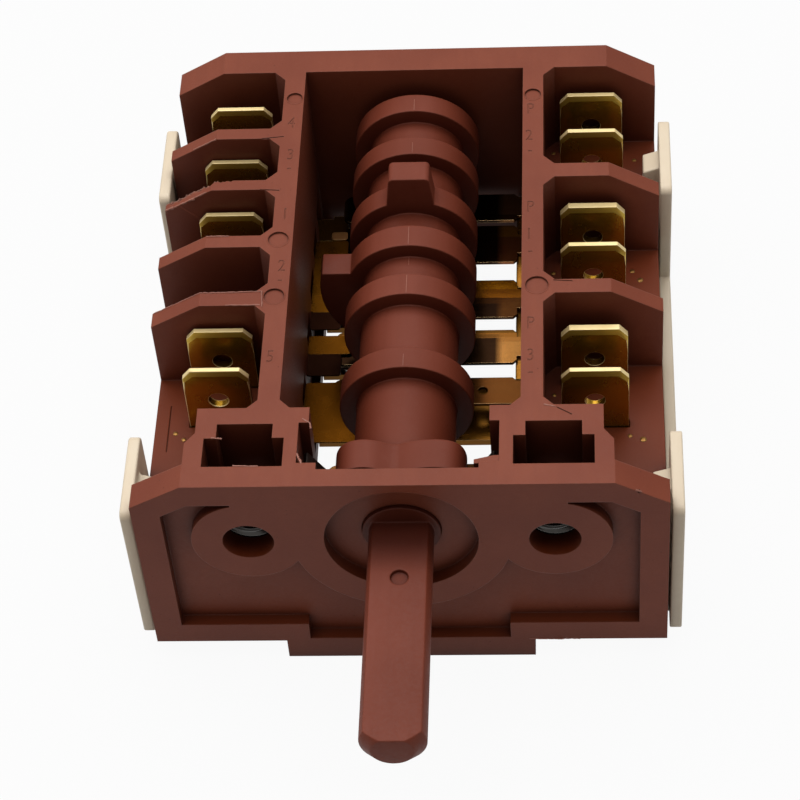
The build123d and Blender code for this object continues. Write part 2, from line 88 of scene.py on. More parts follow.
class Bench:
    """Adds nodes to one tree and joins them."""

    def __init__(self, tree: bpy.types.NodeTree) -> None:
        """Keeps the tree to work on."""
        self.tree = tree

    def feed(self, target: Socket, value: object) -> None:
        """Joins a socket to an input, or writes a plain value on it."""
        if isinstance(value, Socket):
            self.tree.links.new(value, target)
        else:
            target.default_value = value

    def add(
        self, kind: str, values: dict[str | int, object] | None = None, **settings: object
    ) -> bpy.types.Node:
        """Adds one node.

        Args:
            kind: the node's type name.
            values: inputs by name or number, each with a value or a socket to join.
            **settings: properties of the node itself.

        Returns:
            The new node.
        """
        node = self.tree.nodes.new(kind)
        for name, value in settings.items():
            setattr(node, name, value)
        for key, value in (values or {}).items():
            self.feed(node.inputs[key], value)
        return node

    def layered(self, base: object, layers: list[Layer]) -> Socket:
        """Lays colours over a base, one after the other.

        Args:
            base: a colour or a socket.
            layers: the share of each colour, as a socket, and the colour.

        Returns:
            The socket of the mixed colour.
        """
        tone = (*base, 1.0) if isinstance(base, tuple) else base
        for share, colour in layers:
            values = {MIX_FACTOR: share, MIX_FIRST: tone, MIX_SECOND: (*colour, 1.0)}
            tone = self.add("ShaderNodeMix", values, data_type="RGBA").outputs[MIX_RESULT]
        return tone

    def math(self, operation: str, *terms: object) -> Socket:
        """Works out a number from numbers or sockets, taken in order."""
        return self.add("ShaderNodeMath", dict(enumerate(terms)), operation=operation).outputs[0]

    def spread(self, source: Socket, low: float, high: float, start: float, end: float) -> Socket:
        """Maps low..high of a socket onto start..end, and holds it there outside."""
        limits = {"From Min": low, "From Max": high, "To Min": start, "To Max": end}
        return self.add("ShaderNodeMapRange", {"Value": source, **limits}).outputs["Result"]

    def axes(self, vector: Socket) -> bpy.types.NodeOutputs:
        """Splits a vector into its X, Y and Z."""
        return self.add("ShaderNodeSeparateXYZ", {0: vector}).outputs

    def centred(self, colour: Socket) -> Socket:
        """Shifts a noise's colour so that it runs about nought on each axis."""
        terms = {0: colour, 1: (0.5, 0.5, 0.5)}
        return self.add("ShaderNodeVectorMath", terms, operation="SUBTRACT").outputs["Vector"]

    def noise(self, place: Socket, size_mm: float, detail: float, stretch: Point = EVEN) -> Socket:
        """Noise of a given size on the object.

        Args:
            place: the coordinates it reads.
            size_mm: the size of its largest features.
            detail: how many finer layers it has.
            stretch: how many times longer the features are along each axis.

        Returns:
            The socket of the noise, about 0 to 1.
        """
        scale = tuple(1.0 / share for share in stretch)
        turn = self.add("ShaderNodeMapping", {"Vector": place, "Scale": scale})
        values = {"Vector": turn.outputs["Vector"], "Scale": 1.0 / (size_mm * MM), "Detail": detail}
        return self.add("ShaderNodeTexNoise", values).outputs["Fac"]

    def spots(
        self, place: Socket, spacing_mm: float, core: float, rim: float, share: float
    ) -> Socket:
        """Round spots scattered over the object.

        Args:
            place: the coordinates they read.
            spacing_mm: about how far apart they are.
            core: the part of the spacing that is wholly inside a spot.
            rim: the part of the spacing at which a spot has faded out.
            share: how strong a spot is at its core.

        Returns:
            The socket of the spots' share.
        """
        values = {"Vector": place, "Scale": 1.0 / (spacing_mm * MM), "Randomness": 1.0}
        cells = self.add("ShaderNodeTexVoronoi", values)
        return self.spread(cells.outputs["Distance"], core, rim, share, 0.0)

    def bands(self, along: Socket, stops: tuple[tuple[float, Colour], ...]) -> Socket:
        """Colours that change at given places along one coordinate.

        Args:
            along: the coordinate, in metres.
            stops: where each colour starts, in millimetres, and the colour.

        Returns:
            The socket of the colour.
        """
        span = stops[-1][0] + 1.0
        ramp = self.add("ShaderNodeValToRGB", {"Fac": self.spread(along, 0.0, span * MM, 0.0, 1.0)})
        ramp.color_ramp.interpolation = "CONSTANT"
        elements = ramp.color_ramp.elements
        while len(elements) < len(stops):
            elements.new(1.0)
        for element, (start, colour) in zip(elements, stops):
            element.position = start / span
            element.color = (*colour, 1.0)
        return ramp.outputs["Color"]

    def shade(self, reach_mm: float, shut: float, open_at: float, share: float) -> Socket:
        """Shades corners: wholly at the openness shut, and not at all from open_at on."""
        node = self.add("ShaderNodeAmbientOcclusion", {"Distance": reach_mm * MM}, samples=8)
        return self.spread(node.outputs["AO"], shut, open_at, share, 0.0)

    def edges(self, radius_mm: float) -> tuple[Socket, Socket]:
        """Finds the edges of a solid.

        Args:
            radius_mm: how far the rounding of an edge reaches.

        Returns:
            The rounded normal, and a mask that is 1 on an edge and 0 away from it.
        """
        rounded = self.add("ShaderNodeBevel", {"Radius": radius_mm * MM}, samples=6).outputs["Normal"]
        flat = self.add("ShaderNodeNewGeometry").outputs["Normal"]
        dot = self.add("ShaderNodeVectorMath", {0: rounded, 1: flat}, operation="DOT_PRODUCT")
        return rounded, self.spread(dot.outputs["Value"], 0.86, 0.995, 1.0, 0.0)

    def relief(self, normal: Socket, height: Socket, strength: float, rise_mm: float) -> Socket:
        """Bends a normal as a relief would whose height of 1 stands out by rise_mm."""
        values = {"Normal": normal, "Height": height, "Strength": strength, "Distance": rise_mm * MM}
        return self.add("ShaderNodeBump", values).outputs["Normal"]


def bench_of(owner: Material | bpy.types.World) -> Bench:
    """Empties the node tree of a material or a world and gives its bench."""
    owner.use_nodes = True
    owner.node_tree.nodes.clear()
    return Bench(owner.node_tree)


def shader_tree(name: str) -> tuple[Material, Bench, bpy.types.Node, Socket]:
    """Starts a material.

    Args:
        name: the material's name.

    Returns:
        The material, its bench, its surface shader and the object coordinates.
    """
    material = bpy.data.materials.new(name)
    bench = bench_of(material)
    surface = bench.add("ShaderNodeBsdfPrincipled")
    bench.add("ShaderNodeOutputMaterial", {"Surface": surface.outputs["BSDF"]})
    place = bench.add("ShaderNodeTexCoord").outputs["Object"]
    return material, bench, surface, place


@dataclass(frozen=True)
class MouldedFinish:
    """Moulded plastic with a mineral filler, softened edges and a fine skin."""

    name: str
    slot: str
    base: Colour
    deep: Colour
    pale: Colour
    shade: Colour
    roughness: float
    specular: float
    edge_mm: float
    # Edges painted paler: partly wear, partly a painted highlight where the edges catch the light.
    worn_and_highlit_edge_share: float
    fleck: float
    skin_mm: float
    relief_mm: float
    cloud_mm: float = 9.0
    flow_mm: float = 0.9
    flow_share: float = 0.4
    grain: Point = (1.0, 4.0, 1.0)
    fleck_mm: float = 0.38
    pit_mm: float = 0.95
    pit_patch_mm: float = 4.0
    pit_share: float = 0.0
    shade_reach: float = 11.0
    shade_share: float = 0.85
    shade_end: float = 0.78
    # Painted shade in tight corners and creases, from a short-reach occlusion.
    corner_shade_reach: float = 2.2
    corner_shade_share: float = 0.55
    # Low upward faces are painted darker and redder: painted shade and painted warm bounce light.
    floor_shade_tone: Colour = (0.125, 0.018, 0.0004)
    floor_shade_share: float = 0.0
    floor_shade_low: float = -1.5
    floor_shade_high: float = 3.0
    hub_shade: float = 0.0
    hub_outside: tuple[float, float] = (-4.8, -1.5)
    hub_inside: tuple[float, float] = (0.6, 1.4)

    def material(self) -> Material:
        """Builds the material.

        Returns:
            The finished material.
        """
        material, bench, surface, place = shader_tree(self.name)
        rounded, edge = bench.edges(self.edge_mm)
        broad = bench.spread(bench.noise(place, self.cloud_mm, 2.0), 0.35, 0.68, 0.0, 1.0)
        flow = bench.noise(place, self.flow_mm, 4.0, self.grain)
        skin = bench.noise(place, self.skin_mm, 6.0)
        patch = bench.spread(bench.noise(place, self.pit_patch_mm, 2.0), 0.5, 0.62, 0.0, 1.0)
        pit = bench.math("MULTIPLY", bench.spots(place, self.pit_mm, 0.05, 0.1, self.pit_share), patch)
        layers = [
            (broad, self.deep),
            (bench.spread(flow, 0.38, 0.66, 0.0, self.flow_share), self.deep),
            (bench.spots(place, self.fleck_mm, 0.06, 0.16, self.fleck), self.pale),
            # Pits are painted in the shade colour: painted shade inside them.
            (pit, self.shade),
            # Paler edges: partly wear, partly painted highlight.
            (bench.math("MULTIPLY", edge, self.worn_and_highlit_edge_share), self.pale),
            # Painted shade and warm bounce light on low upward faces.
            (self.shaded_floors(bench, place), self.floor_shade_tone),
        ]
        if self.hub_shade:
            layers.append((self.hub(bench, place), self.shade))
        layers.append((bench.shade(self.shade_reach, 0.12, self.shade_end, self.shade_share), self.shade))
        # Painted shade in tight corners, mixed toward the shade colour.
        layers.append((bench.shade(self.corner_shade_reach, 0.35, 0.85, self.corner_shade_share), self.shade))
        gloss = bench.spread(skin, 0.3, 0.7, self.roughness - 0.05, self.roughness + 0.09)
        height = bench.math("SUBTRACT", skin, pit)
        bench.feed(surface.inputs["Base Color"], bench.layered(self.base, layers))
        bench.feed(surface.inputs["Specular IOR Level"], self.specular)
        bench.feed(surface.inputs["Roughness"], gloss)
        bench.feed(surface.inputs["Normal"], bench.relief(rounded, height, 0.55, self.relief_mm))
        return material

    def hub(self, bench: Bench, place: Socket) -> Socket:
        """Finds the part of the spindle that stands in the front plate's shade.

        Args:
            bench: the material's bench.
            place: the object coordinates.

        Returns:
            The socket of the shade's share.
        """
        along = bench.axes(place)["Y"]
        far, near = self.hub_outside
        outside = bench.spread(along, far * MM, near * MM, 0.0, self.hub_shade)
        near, far = self.hub_inside
        inside = bench.spread(along, near * MM, far * MM, 1.0, 0.0)
        return bench.math("MULTIPLY", outside, inside)

    def shaded_floors(self, bench: Bench, place: Socket) -> Socket:
        """Finds low faces that look upward, which are painted darker and redder as painted shade and
        painted warm bounce light.

        Args:
            bench: the material's bench.
            place: the object coordinates.

        Returns:
            The socket of the painted shade's share.
        """
        facing = bench.axes(bench.add("ShaderNodeNewGeometry").outputs["Normal"])["Z"]
        upward = bench.spread(facing, 0.5, 0.9, 0.0, self.floor_shade_share)
        low = bench.spread(bench.axes(place)["Z"], self.floor_shade_low * MM, self.floor_shade_high * MM, 1.0, 0.0)
        return bench.math("MULTIPLY", upward, low)


@dataclass(frozen=True)
class StripFinish:
    """Rolled metal strip with streaks along one axis, stains, tarnish with painted shade in its hollows,
    and edges painted bright as highlights.
    """

    name: str
    slot: str
    base: Colour
    stain: Colour
    # The colour of the painted highlights and glints along the edges.
    bright: Colour
    roughness: float
    edge_mm: float = 0.05
    edge_highlight_share: float = 0.7
    streak: Point = EVEN
    streak_mm: float = 0.2
    streak_share: float = 0.08
    cloud_mm: float = 2.6
    stain_share: float = 0.3
    stain_roughness: float = 0.2
    relief_mm: float = 0.0004
    metallic: float = 1.0
    # A tone laid in hollows by an occlusion: partly tarnish, partly painted shade.
    tarnish_and_shade: Colour = (0.09, 0.042, 0.008)
    tarnish_and_shade_reach: float = 8.0
    tarnish_and_shade_share: float = 0.7
    # Painted shade and painted dark reflection on low parts in the channel: darker below these heights.
    low_shade_tone: Colour | None = None
    low_shade_limits: tuple[float, float] = (-8.5, -5.0)
    low_shade_share: float = 0.94
    bands: tuple[tuple[float, Colour], ...] = ()
    cam_shade: float = 0.0
    cam_limits: tuple[float, float] = (7.85, 8.6)
    cam_tone: Colour = (0.012, 0.005, 0.0025)
    cam_rows: tuple[tuple[float, Colour], ...] = ()

    def material(self) -> Material:
        """Builds the material.

        Returns:
            The finished material.
        """
        material, bench, surface, place = shader_tree(self.name)
        rounded, edge = bench.edges(self.edge_mm)
        where = bench.axes(place)
        streaks = bench.noise(place, self.streak_mm, 2.0, self.streak)
        clouds = bench.spread(bench.noise(place, self.cloud_mm, 4.0), 0.42, 0.7, 0.0, self.stain_share)
        layers = [
            (clouds, self.stain),
            (bench.spread(streaks, 0.4, 0.7, 0.0, self.streak_share), self.stain),
        ]
        # Painted shade and dark reflection, darker toward the bottom.
        if self.low_shade_tone:
            bottom, top = self.low_shade_limits
            low = bench.spread(where["Z"], bottom * MM, top * MM, self.low_shade_share, 0.0)
            layers.append((low, self.low_shade_tone))
        # Hollows: partly tarnish, partly painted shade.
        layers.append((bench.shade(self.tarnish_and_shade_reach, 0.1, 0.85, self.tarnish_and_shade_share), self.tarnish_and_shade))
        if self.cam_shade:
            layers.append((self.under_cams(bench, where), self.cam_tone))
        # Painted highlight along the edges.
        layers.append((bench.math("MULTIPLY", edge, self.edge_highlight_share), self.bright))
        base = bench.bands(where["Y"], self.bands) if self.bands else self.base
        rough = bench.spread(streaks, 0.35, 0.7, self.roughness, self.roughness + 0.06)
        rough = bench.math("ADD", rough, bench.math("MULTIPLY", clouds, self.stain_roughness))
        bench.feed(surface.inputs["Base Color"], bench.layered(base, layers))
        bench.feed(surface.inputs["Metallic"], self.metallic)
        bench.feed(surface.inputs["Roughness"], rough)
        bench.feed(surface.inputs["Normal"], bench.relief(rounded, streaks, 0.08, self.relief_mm))
        return material

    def under_cams(self, bench: Bench, where: bpy.types.NodeOutputs) -> Socket:
        """Finds the inner ends of the leaves that lie in the shade of the cams.

        Args:
            bench: the material's bench.
            where: the object coordinates, one by one.

        Returns:
            The socket of the shade's share.
        """
        near, far = self.cam_limits
        side = bench.math("ABSOLUTE", where["X"])
        ends = bench.spread(side, near * MM, far * MM, self.cam_shade, 0.0)
        return bench.math("MULTIPLY", ends, bench.bands(where["Y"], self.cam_rows))


Finish = MouldedFinish | StripFinish

PHENOLIC = MouldedFinish(
    name="brown_phenolic",
    slot="brown_phenolic",
    base=(0.2, 0.0475, 0.0225),
    deep=(0.166, 0.0365, 0.017),
    pale=(0.36, 0.15, 0.1),
    shade=(0.045, 0.008, 0.0025),
    roughness=0.45,
    specular=0.2,
    edge_mm=0.14,
    worn_and_highlit_edge_share=0.28,
    fleck=0.12,
    skin_mm=0.22,
    relief_mm=0.02,
    floor_shade_share=0.85,
    pit_share=0.7,
)
BROKEN_PHENOLIC = MouldedFinish(
    name="broken_phenolic",
    slot="brown_phenolic",
    base=(0.19, 0.05, 0.024),
    deep=(0.1, 0.022, 0.01),
    pale=(0.52, 0.29, 0.21),
    shade=(0.06, 0.012, 0.005),
    roughness=0.5,
    specular=0.3,
    edge_mm=0.1,
    worn_and_highlit_edge_share=0.75,
    fleck=0.5,
    skin_mm=0.12,
    relief_mm=0.05,
    grain=EVEN,
)
# Paler than the body: partly the thin flash's own colour, partly a painted highlight along the edges it
# runs on.
FLASH_PHENOLIC = MouldedFinish(
    name="flash_phenolic",
    slot="brown_phenolic",
    base=(0.31, 0.115, 0.075),
    deep=(0.2, 0.058, 0.034),
    pale=(0.46, 0.26, 0.19),
    shade=(0.12, 0.03, 0.014),
    roughness=0.34,
    specular=0.45,
    edge_mm=0.05,
    worn_and_highlit_edge_share=0.5,
    fleck=0.2,
    skin_mm=0.1,
    relief_mm=0.02,
    grain=EVEN,
)
ROTOR_MOULDING = MouldedFinish(
    name="brown_rotor_moulding",
    slot="brown_moulding",
    base=(0.17, 0.0375, 0.0195),
    deep=(0.138, 0.0275, 0.0125),
    pale=(0.3, 0.11, 0.075),
    shade=(0.042, 0.0055, 0.0015),
    roughness=0.47,
    specular=0.17,
    edge_mm=0.18,
    worn_and_highlit_edge_share=0.22,
    fleck=0.1,
    skin_mm=0.3,
    relief_mm=0.012,
    grain=(1.0, 16.0, 1.0),
    shade_end=0.9,
    hub_shade=0.85,
)
CREAM = MouldedFinish(
    name="cream_cover_plastic",
    slot="cream_plastic",
    base=(0.72, 0.61, 0.46),
    deep=(0.66, 0.54, 0.39),
    pale=(0.8, 0.72, 0.58),
    shade=(0.34, 0.25, 0.17),
    roughness=0.38,
    specular=0.35,
    edge_mm=0.25,
    worn_and_highlit_edge_share=0.2,
    fleck=0.0,
    skin_mm=0.5,
    relief_mm=0.01,
    shade_reach=5.0,
    shade_share=0.3,
    corner_shade_share=0.3,
)
BRASS = StripFinish(
    name="brass_strip",
    slot="brass_strip",
    base=(0.64, 0.37, 0.035),
    stain=(0.3, 0.16, 0.012),
    bright=(0.95, 0.8, 0.45),
    roughness=0.2,
    metallic=0.9,
    streak=(5.0, 1.0, 9.0),
    low_shade_tone=(0.17, 0.058, 0.003),
)
COINED_BRASS = StripFinish(
    name="coined_brass",
    slot="brass_strip",
    base=(0.7, 0.48, 0.08),
    stain=(0.45, 0.28, 0.04),
    bright=(0.95, 0.8, 0.45),
    roughness=0.32,
    edge_mm=0.02,
    streak=(5.0, 1.0, 9.0),
    metallic=0.8,
)
# A dark brass, lighter toward the rear in steps along Y.
LAND_BRASS = StripFinish(
    name="banded_land_brass",
    slot="brass_strip",
    base=(0.12, 0.042, 0.003),
    stain=(0.06, 0.02, 0.0015),
    bright=(0.3, 0.16, 0.04),
    roughness=0.24,
    streak_mm=1.5,
    tarnish_and_shade=(0.05, 0.017, 0.0008),
    bands=(
        (0.0, (0.078, 0.025, 0.0012)),
        (29.0, (0.12, 0.041, 0.0025)),
        (35.0, (0.19, 0.07, 0.005)),
    ),
)
# A pale, half-matt brass that paints the highlight on the tabs' tips and rounded edges.
HIGHLIGHT_BRASS = StripFinish(
    name="painted_highlight_brass",
    slot="brass_strip",
    base=(0.86, 0.68, 0.34),
    stain=(0.62, 0.44, 0.16),
    bright=(0.95, 0.82, 0.52),
    roughness=0.42,
    edge_mm=0.02,
    streak=(5.0, 1.0, 9.0),
    metallic=0.45,
    tarnish_and_shade=(0.25, 0.14, 0.04),
    tarnish_and_shade_reach=5.0,
    tarnish_and_shade_share=0.5,
    low_shade_tone=(0.16, 0.07, 0.012),
)
# Near-black sheets laid between the lands: painted shadow.
SHADOW_STRIP = StripFinish(
    name="painted_shadow_strip",
    slot="spring_bronze",
    base=(0.018, 0.0055, 0.0025),
    stain=(0.01, 0.003, 0.0014),
    bright=(0.04, 0.018, 0.006),
    roughness=0.35,
    streak=(12.0, 1.0, 1.0),
    stain_share=0.4,
    tarnish_and_shade=(0.012, 0.004, 0.002),
)
LEAF_TIP = StripFinish(
    name="bright_leaf_tip",
    slot="spring_bronze",
    base=(0.3, 0.14, 0.05),
    stain=(0.18, 0.07, 0.022),
    bright=(0.5, 0.3, 0.14),
    roughness=0.35,
    edge_mm=0.08,
    streak=(12.0, 1.0, 1.0),
    tarnish_and_shade=(0.2, 0.09, 0.03),
    tarnish_and_shade_share=0.4,
)
BURR_BRASS = StripFinish(
    name="stake_burr_brass",
    slot="brass_strip",
    base=(0.3, 0.16, 0.05),
    stain=(0.14, 0.07, 0.02),
    bright=(0.5, 0.36, 0.14),
    roughness=0.42,
    edge_mm=0.03,
    stain_share=0.7,
)
BRONZE = StripFinish(
    name="spring_bronze",
    slot="spring_bronze",
    base=(0.62, 0.3, 0.08),
    stain=(0.3, 0.13, 0.03),
    bright=(0.85, 0.58, 0.28),
    roughness=0.16,
    streak=(12.0, 1.0, 1.0),
    stain_share=0.12,
    tarnish_and_shade=(0.035, 0.014, 0.006),
    tarnish_and_shade_reach=12.0,
    tarnish_and_shade_share=0.85,
    # Steps along Y paint the light, shade and dark reflections of each row of leaves.
    bands=(
        (0.0, (0.2, 0.08, 0.02)),
        (24.0, (0.1, 0.03, 0.0028)),
        (29.0, (0.5, 0.22, 0.052)),
        (32.3, (0.42, 0.17, 0.034)),
        (32.95, (0.34, 0.13, 0.018)),
        (33.45, (0.15, 0.06, 0.003)),
        (35.0, (0.06, 0.016, 0.0008)),
        (38.4, (0.32, 0.1, 0.002)),
        (39.6, (0.55, 0.2, 0.001)),
        (42.0, (0.5, 0.16, 0.05)),
        (47.0, (0.9, 0.42, 0.045)),
        (49.0, (0.25, 0.1, 0.03)),
        (50.2, (0.6, 0.3, 0.12)),
    ),
    cam_shade=0.97,
    cam_rows=(
        (0.0, (0.0, 0.0, 0.0)),
        (28.9, (1.0, 1.0, 1.0)),
        (32.9, (0.45, 0.45, 0.45)),
        (33.4, (0.0, 0.0, 0.0)),
        (34.4, (1.0, 1.0, 1.0)),
        (37.6, (0.5, 0.5, 0.5)),
        (38.3, (0.0, 0.0, 0.0)),
        (42.0, (1.0, 1.0, 1.0)),
    ),
)
ZINC = StripFinish(
    name="zinc_nut",
    slot="zinc_steel",
    # The near-black base paints the shade in the nuts' slots; the bright edges are painted glints.
    base=(0.06, 0.058, 0.052),
    stain=(0.03, 0.028, 0.025),
    bright=(0.4, 0.4, 0.39),
    roughness=0.2,
    edge_mm=0.1,
    streak=(1.0, 8.0, 1.0),
    stain_share=0.35,
    tarnish_and_shade=(0.2, 0.19, 0.18),
    tarnish_and_shade_share=0.3,
)
SPRING_STEEL = StripFinish(
    name="spring_steel",
    slot="spring_steel",
    base=(0.05, 0.04, 0.034),
    stain=(0.03, 0.022, 0.018),
    bright=(0.12, 0.1, 0.085),
    roughness=0.34,
    edge_mm=0.06,
    streak=(1.0, 1.0, 10.0),
    stain_share=0.5,
    tarnish_and_shade=(0.02, 0.012, 0.009),
)
SILVER = StripFinish(
    name="contact_silver",
    slot="contact_silver",
    base=(0.72, 0.7, 0.66),
    stain=(0.3, 0.28, 0.25),
    bright=(0.9, 0.88, 0.84),
    roughness=0.32,
    edge_mm=0.1,
    stain_share=0.6,
    tarnish_and_shade=(0.12, 0.1, 0.09),
)

NODE_FINISHES: dict[str, Finish] = {
    "housing": PHENOLIC,
    "camshaft": ROTOR_MOULDING,
    "side_cover": CREAM,
    "line_terminal": BRASS,
    "load_terminal": BRASS,
    "blank_contact": BRASS,
    "contact_blade": BRONZE,
    "contact_button": SILVER,
    "fixed_buttons": SILVER,
    "panel_nuts": ZINC,
    "detent_spring": SPRING_STEEL,
}


class FinishRack:
    """Holds one material for each finish, so that pieces share them."""

    def __init__(self) -> None:
        """Starts with no material made."""
        self.made: dict[str, Material] = {}

    def get(self, finish: Finish) -> Material:
        """Makes a finish's material once and gives it each time after."""
        if finish.name not in self.made:
            self.made[finish.name] = finish.material()
        return self.made[finish.name]


RACK = FinishRack()


def link(name: str, data: bpy.types.ID) -> Thing:
    """Puts a mesh, a curve, a lamp or a camera in the scene, at the origin."""
    made = bpy.data.objects.new(name, data)
    bpy.context.scene.collection.objects.link(made)
    return made


def mesh_of(name: str, build: BMesh) -> Mesh:
    """Writes a bmesh to a new mesh and frees it."""
    mesh = bpy.data.meshes.new(name)
    build.to_mesh(mesh)
    build.free()
    return mesh


def solid_of(name: str, build: BMesh, finish: Finish) -> Thing:
    """Writes a bmesh to a new object of one finish, to add to a piece or cut from it."""
    mesh = mesh_of(name, build)
    mesh.materials.append(RACK.get(finish))
    return link(name, mesh)


def plain_mesh(thing: Thing, name: str) -> Mesh:
    """Reads an object with its modifiers as a plain mesh and removes the object.

    Args:
        thing: the object to read.
        name: the new mesh's name.

    Returns:
        The plain mesh.
    """
    bpy.context.view_layer.update()
    graph = bpy.context.evaluated_depsgraph_get()
    mesh = bpy.data.meshes.new_from_object(thing.evaluated_get(graph))
    mesh.name = name
    bpy.data.objects.remove(thing)
    return mesh


def crease(mesh: Mesh, degrees: float) -> None:
    """Shades a mesh smooth, with its corners over an angle left sharp."""
    mesh.shade_smooth()
    mesh.set_sharp_from_angle(angle=math.radians(degrees))


def dress(
    name: str, mesh: Mesh, finish: Finish, body: Body, nodes: tuple[str, ...] = ()
) -> None:
    """Makes a mesh a piece of the switch.

    Args:
        name: the piece's name.
        mesh: its shape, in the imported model's frame.
        finish: its finish.
        body: the body it rides on.
        nodes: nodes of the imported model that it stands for.
    """
    piece = link(name, mesh)
    if not mesh.materials:
        mesh.materials.append(RACK.get(finish))
    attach(piece, body.value)
    if nodes:
        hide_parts(*nodes)
    LOG.info("%s: %d faces on %s", name, len(mesh.polygons), body.value)


def node_copy(name: str, node: Thing) -> Thing:
    """Copies a node's corners and faces alone as one merged, cleaned mesh."""
    bare = bpy.data.meshes.new(name)
    corners = [vertex.co[:] for vertex in node.data.vertices]
    bare.from_pydata(corners, [], [face.vertices[:] for face in node.data.polygons])
    build = bmesh.new()
    build.from_mesh(bare)
    bpy.data.meshes.remove(bare)
    bmesh.ops.remove_doubles(build, verts=build.verts, dist=MERGE * MM)
    bmesh.ops.dissolve_limit(
        build, angle_limit=math.radians(0.3), verts=build.verts, edges=build.edges
    )
    return link(name, mesh_of(name, build))


def in_metres(point: Point) -> Point:
    """Turns a point in millimetres into metres."""
    return tuple(value * MM for value in point)


def add_box(build: BMesh, low: Point, high: Point) -> None:
    """Adds a box between two opposite corners, in millimetres."""
    for vertex in bmesh.ops.create_cube(build, size=1.0)["verts"]:
        shares = zip(low, high, vertex.co)
        vertex.co = Vector([((a + b) / 2 + share * (b - a)) * MM for a, b, share in shares])


def drum(
    name: str,
    place: Point,
    radii: tuple[float, float],
    depth: float,
    sides: int,
    finish: MouldedFinish,
) -> Thing:
    """Makes an upright round solid, to cut from a piece.

    Args:
        name: the solid's name.
        place: its middle, in millimetres.
        radii: its lower and its upper radius, in millimetres.
        depth: how high it is, in millimetres.
        sides: the number of its sides.
        finish: the finish that its cut shows.

    Returns:
        The solid.
    """
    build = bmesh.new()
    bmesh.ops.create_cone(
        build,
        cap_ends=True,
        segments=sides,
        radius1=radii[0] * MM,
        radius2=radii[1] * MM,
        depth=depth * MM,
        matrix=Matrix.Translation(in_metres(place)),
    )
    return solid_of(name, build, finish)


def bridge(build: BMesh, rings: list[list[BMVert]]) -> None:
    """Joins each ring of corners to the next with a belt of faces."""
    for before, after in zip(rings, rings[1:]):
        for step, corner in enumerate(before):
            other = (step + 1) % len(before)
            build.faces.new((corner, before[other], after[other], after[step]))


def cap_ends(build: BMesh, rings: list[list[BMVert]]) -> None:
    """Closes the first and the last ring of corners."""
    build.faces.new(rings[0][::-1])
    build.faces.new(rings[-1])


def combine(thing: Thing, operation: str, tool: Thing | None = None) -> Modifier:
    """Adds a solid to an object, or cuts one from it, with an exact modifier.

    Args:
        thing: the object.
        operation: the name of the operation.
        tool: the solid, where it is one object.

    Returns:
        The modifier.
    """
    modifier = thing.modifiers.new(operation.lower(), "BOOLEAN")
    modifier.operation = operation
    modifier.solver = "EXACT"
    modifier.object = tool
    return modifier


@dataclass(frozen=True)
class Rounding:
    """How a piece's sharp edges are rounded, and which corners are shaded smooth."""

    width: float
    segments: int
    sharp: float
    smooth: float
    material: int = -1

    def finish(self, thing: Thing, name: str) -> Mesh:
        """Rounds an object's edges and gives the result as a plain mesh.

        Args:
            thing: the object, which is removed.
            name: the new mesh's name.

        Returns:
            The rounded mesh.
        """
        bevel = thing.modifiers.new("rounding", "BEVEL")
        bevel.width = self.width * MM
        bevel.segments = self.segments
        bevel.limit_method = "ANGLE"
        bevel.angle_limit = math.radians(self.sharp)
        bevel.material = self.material
        mesh = plain_mesh(thing, name)
        crease(mesh, self.smooth)
        return mesh


def socket_kind(value: float | int | Material) -> str:
    """Names the kind of tree input that holds a value."""
    if isinstance(value, Material):
        return "NodeSocketMaterial"
    return "NodeSocketInt" if isinstance(value, int) else "NodeSocketFloat"


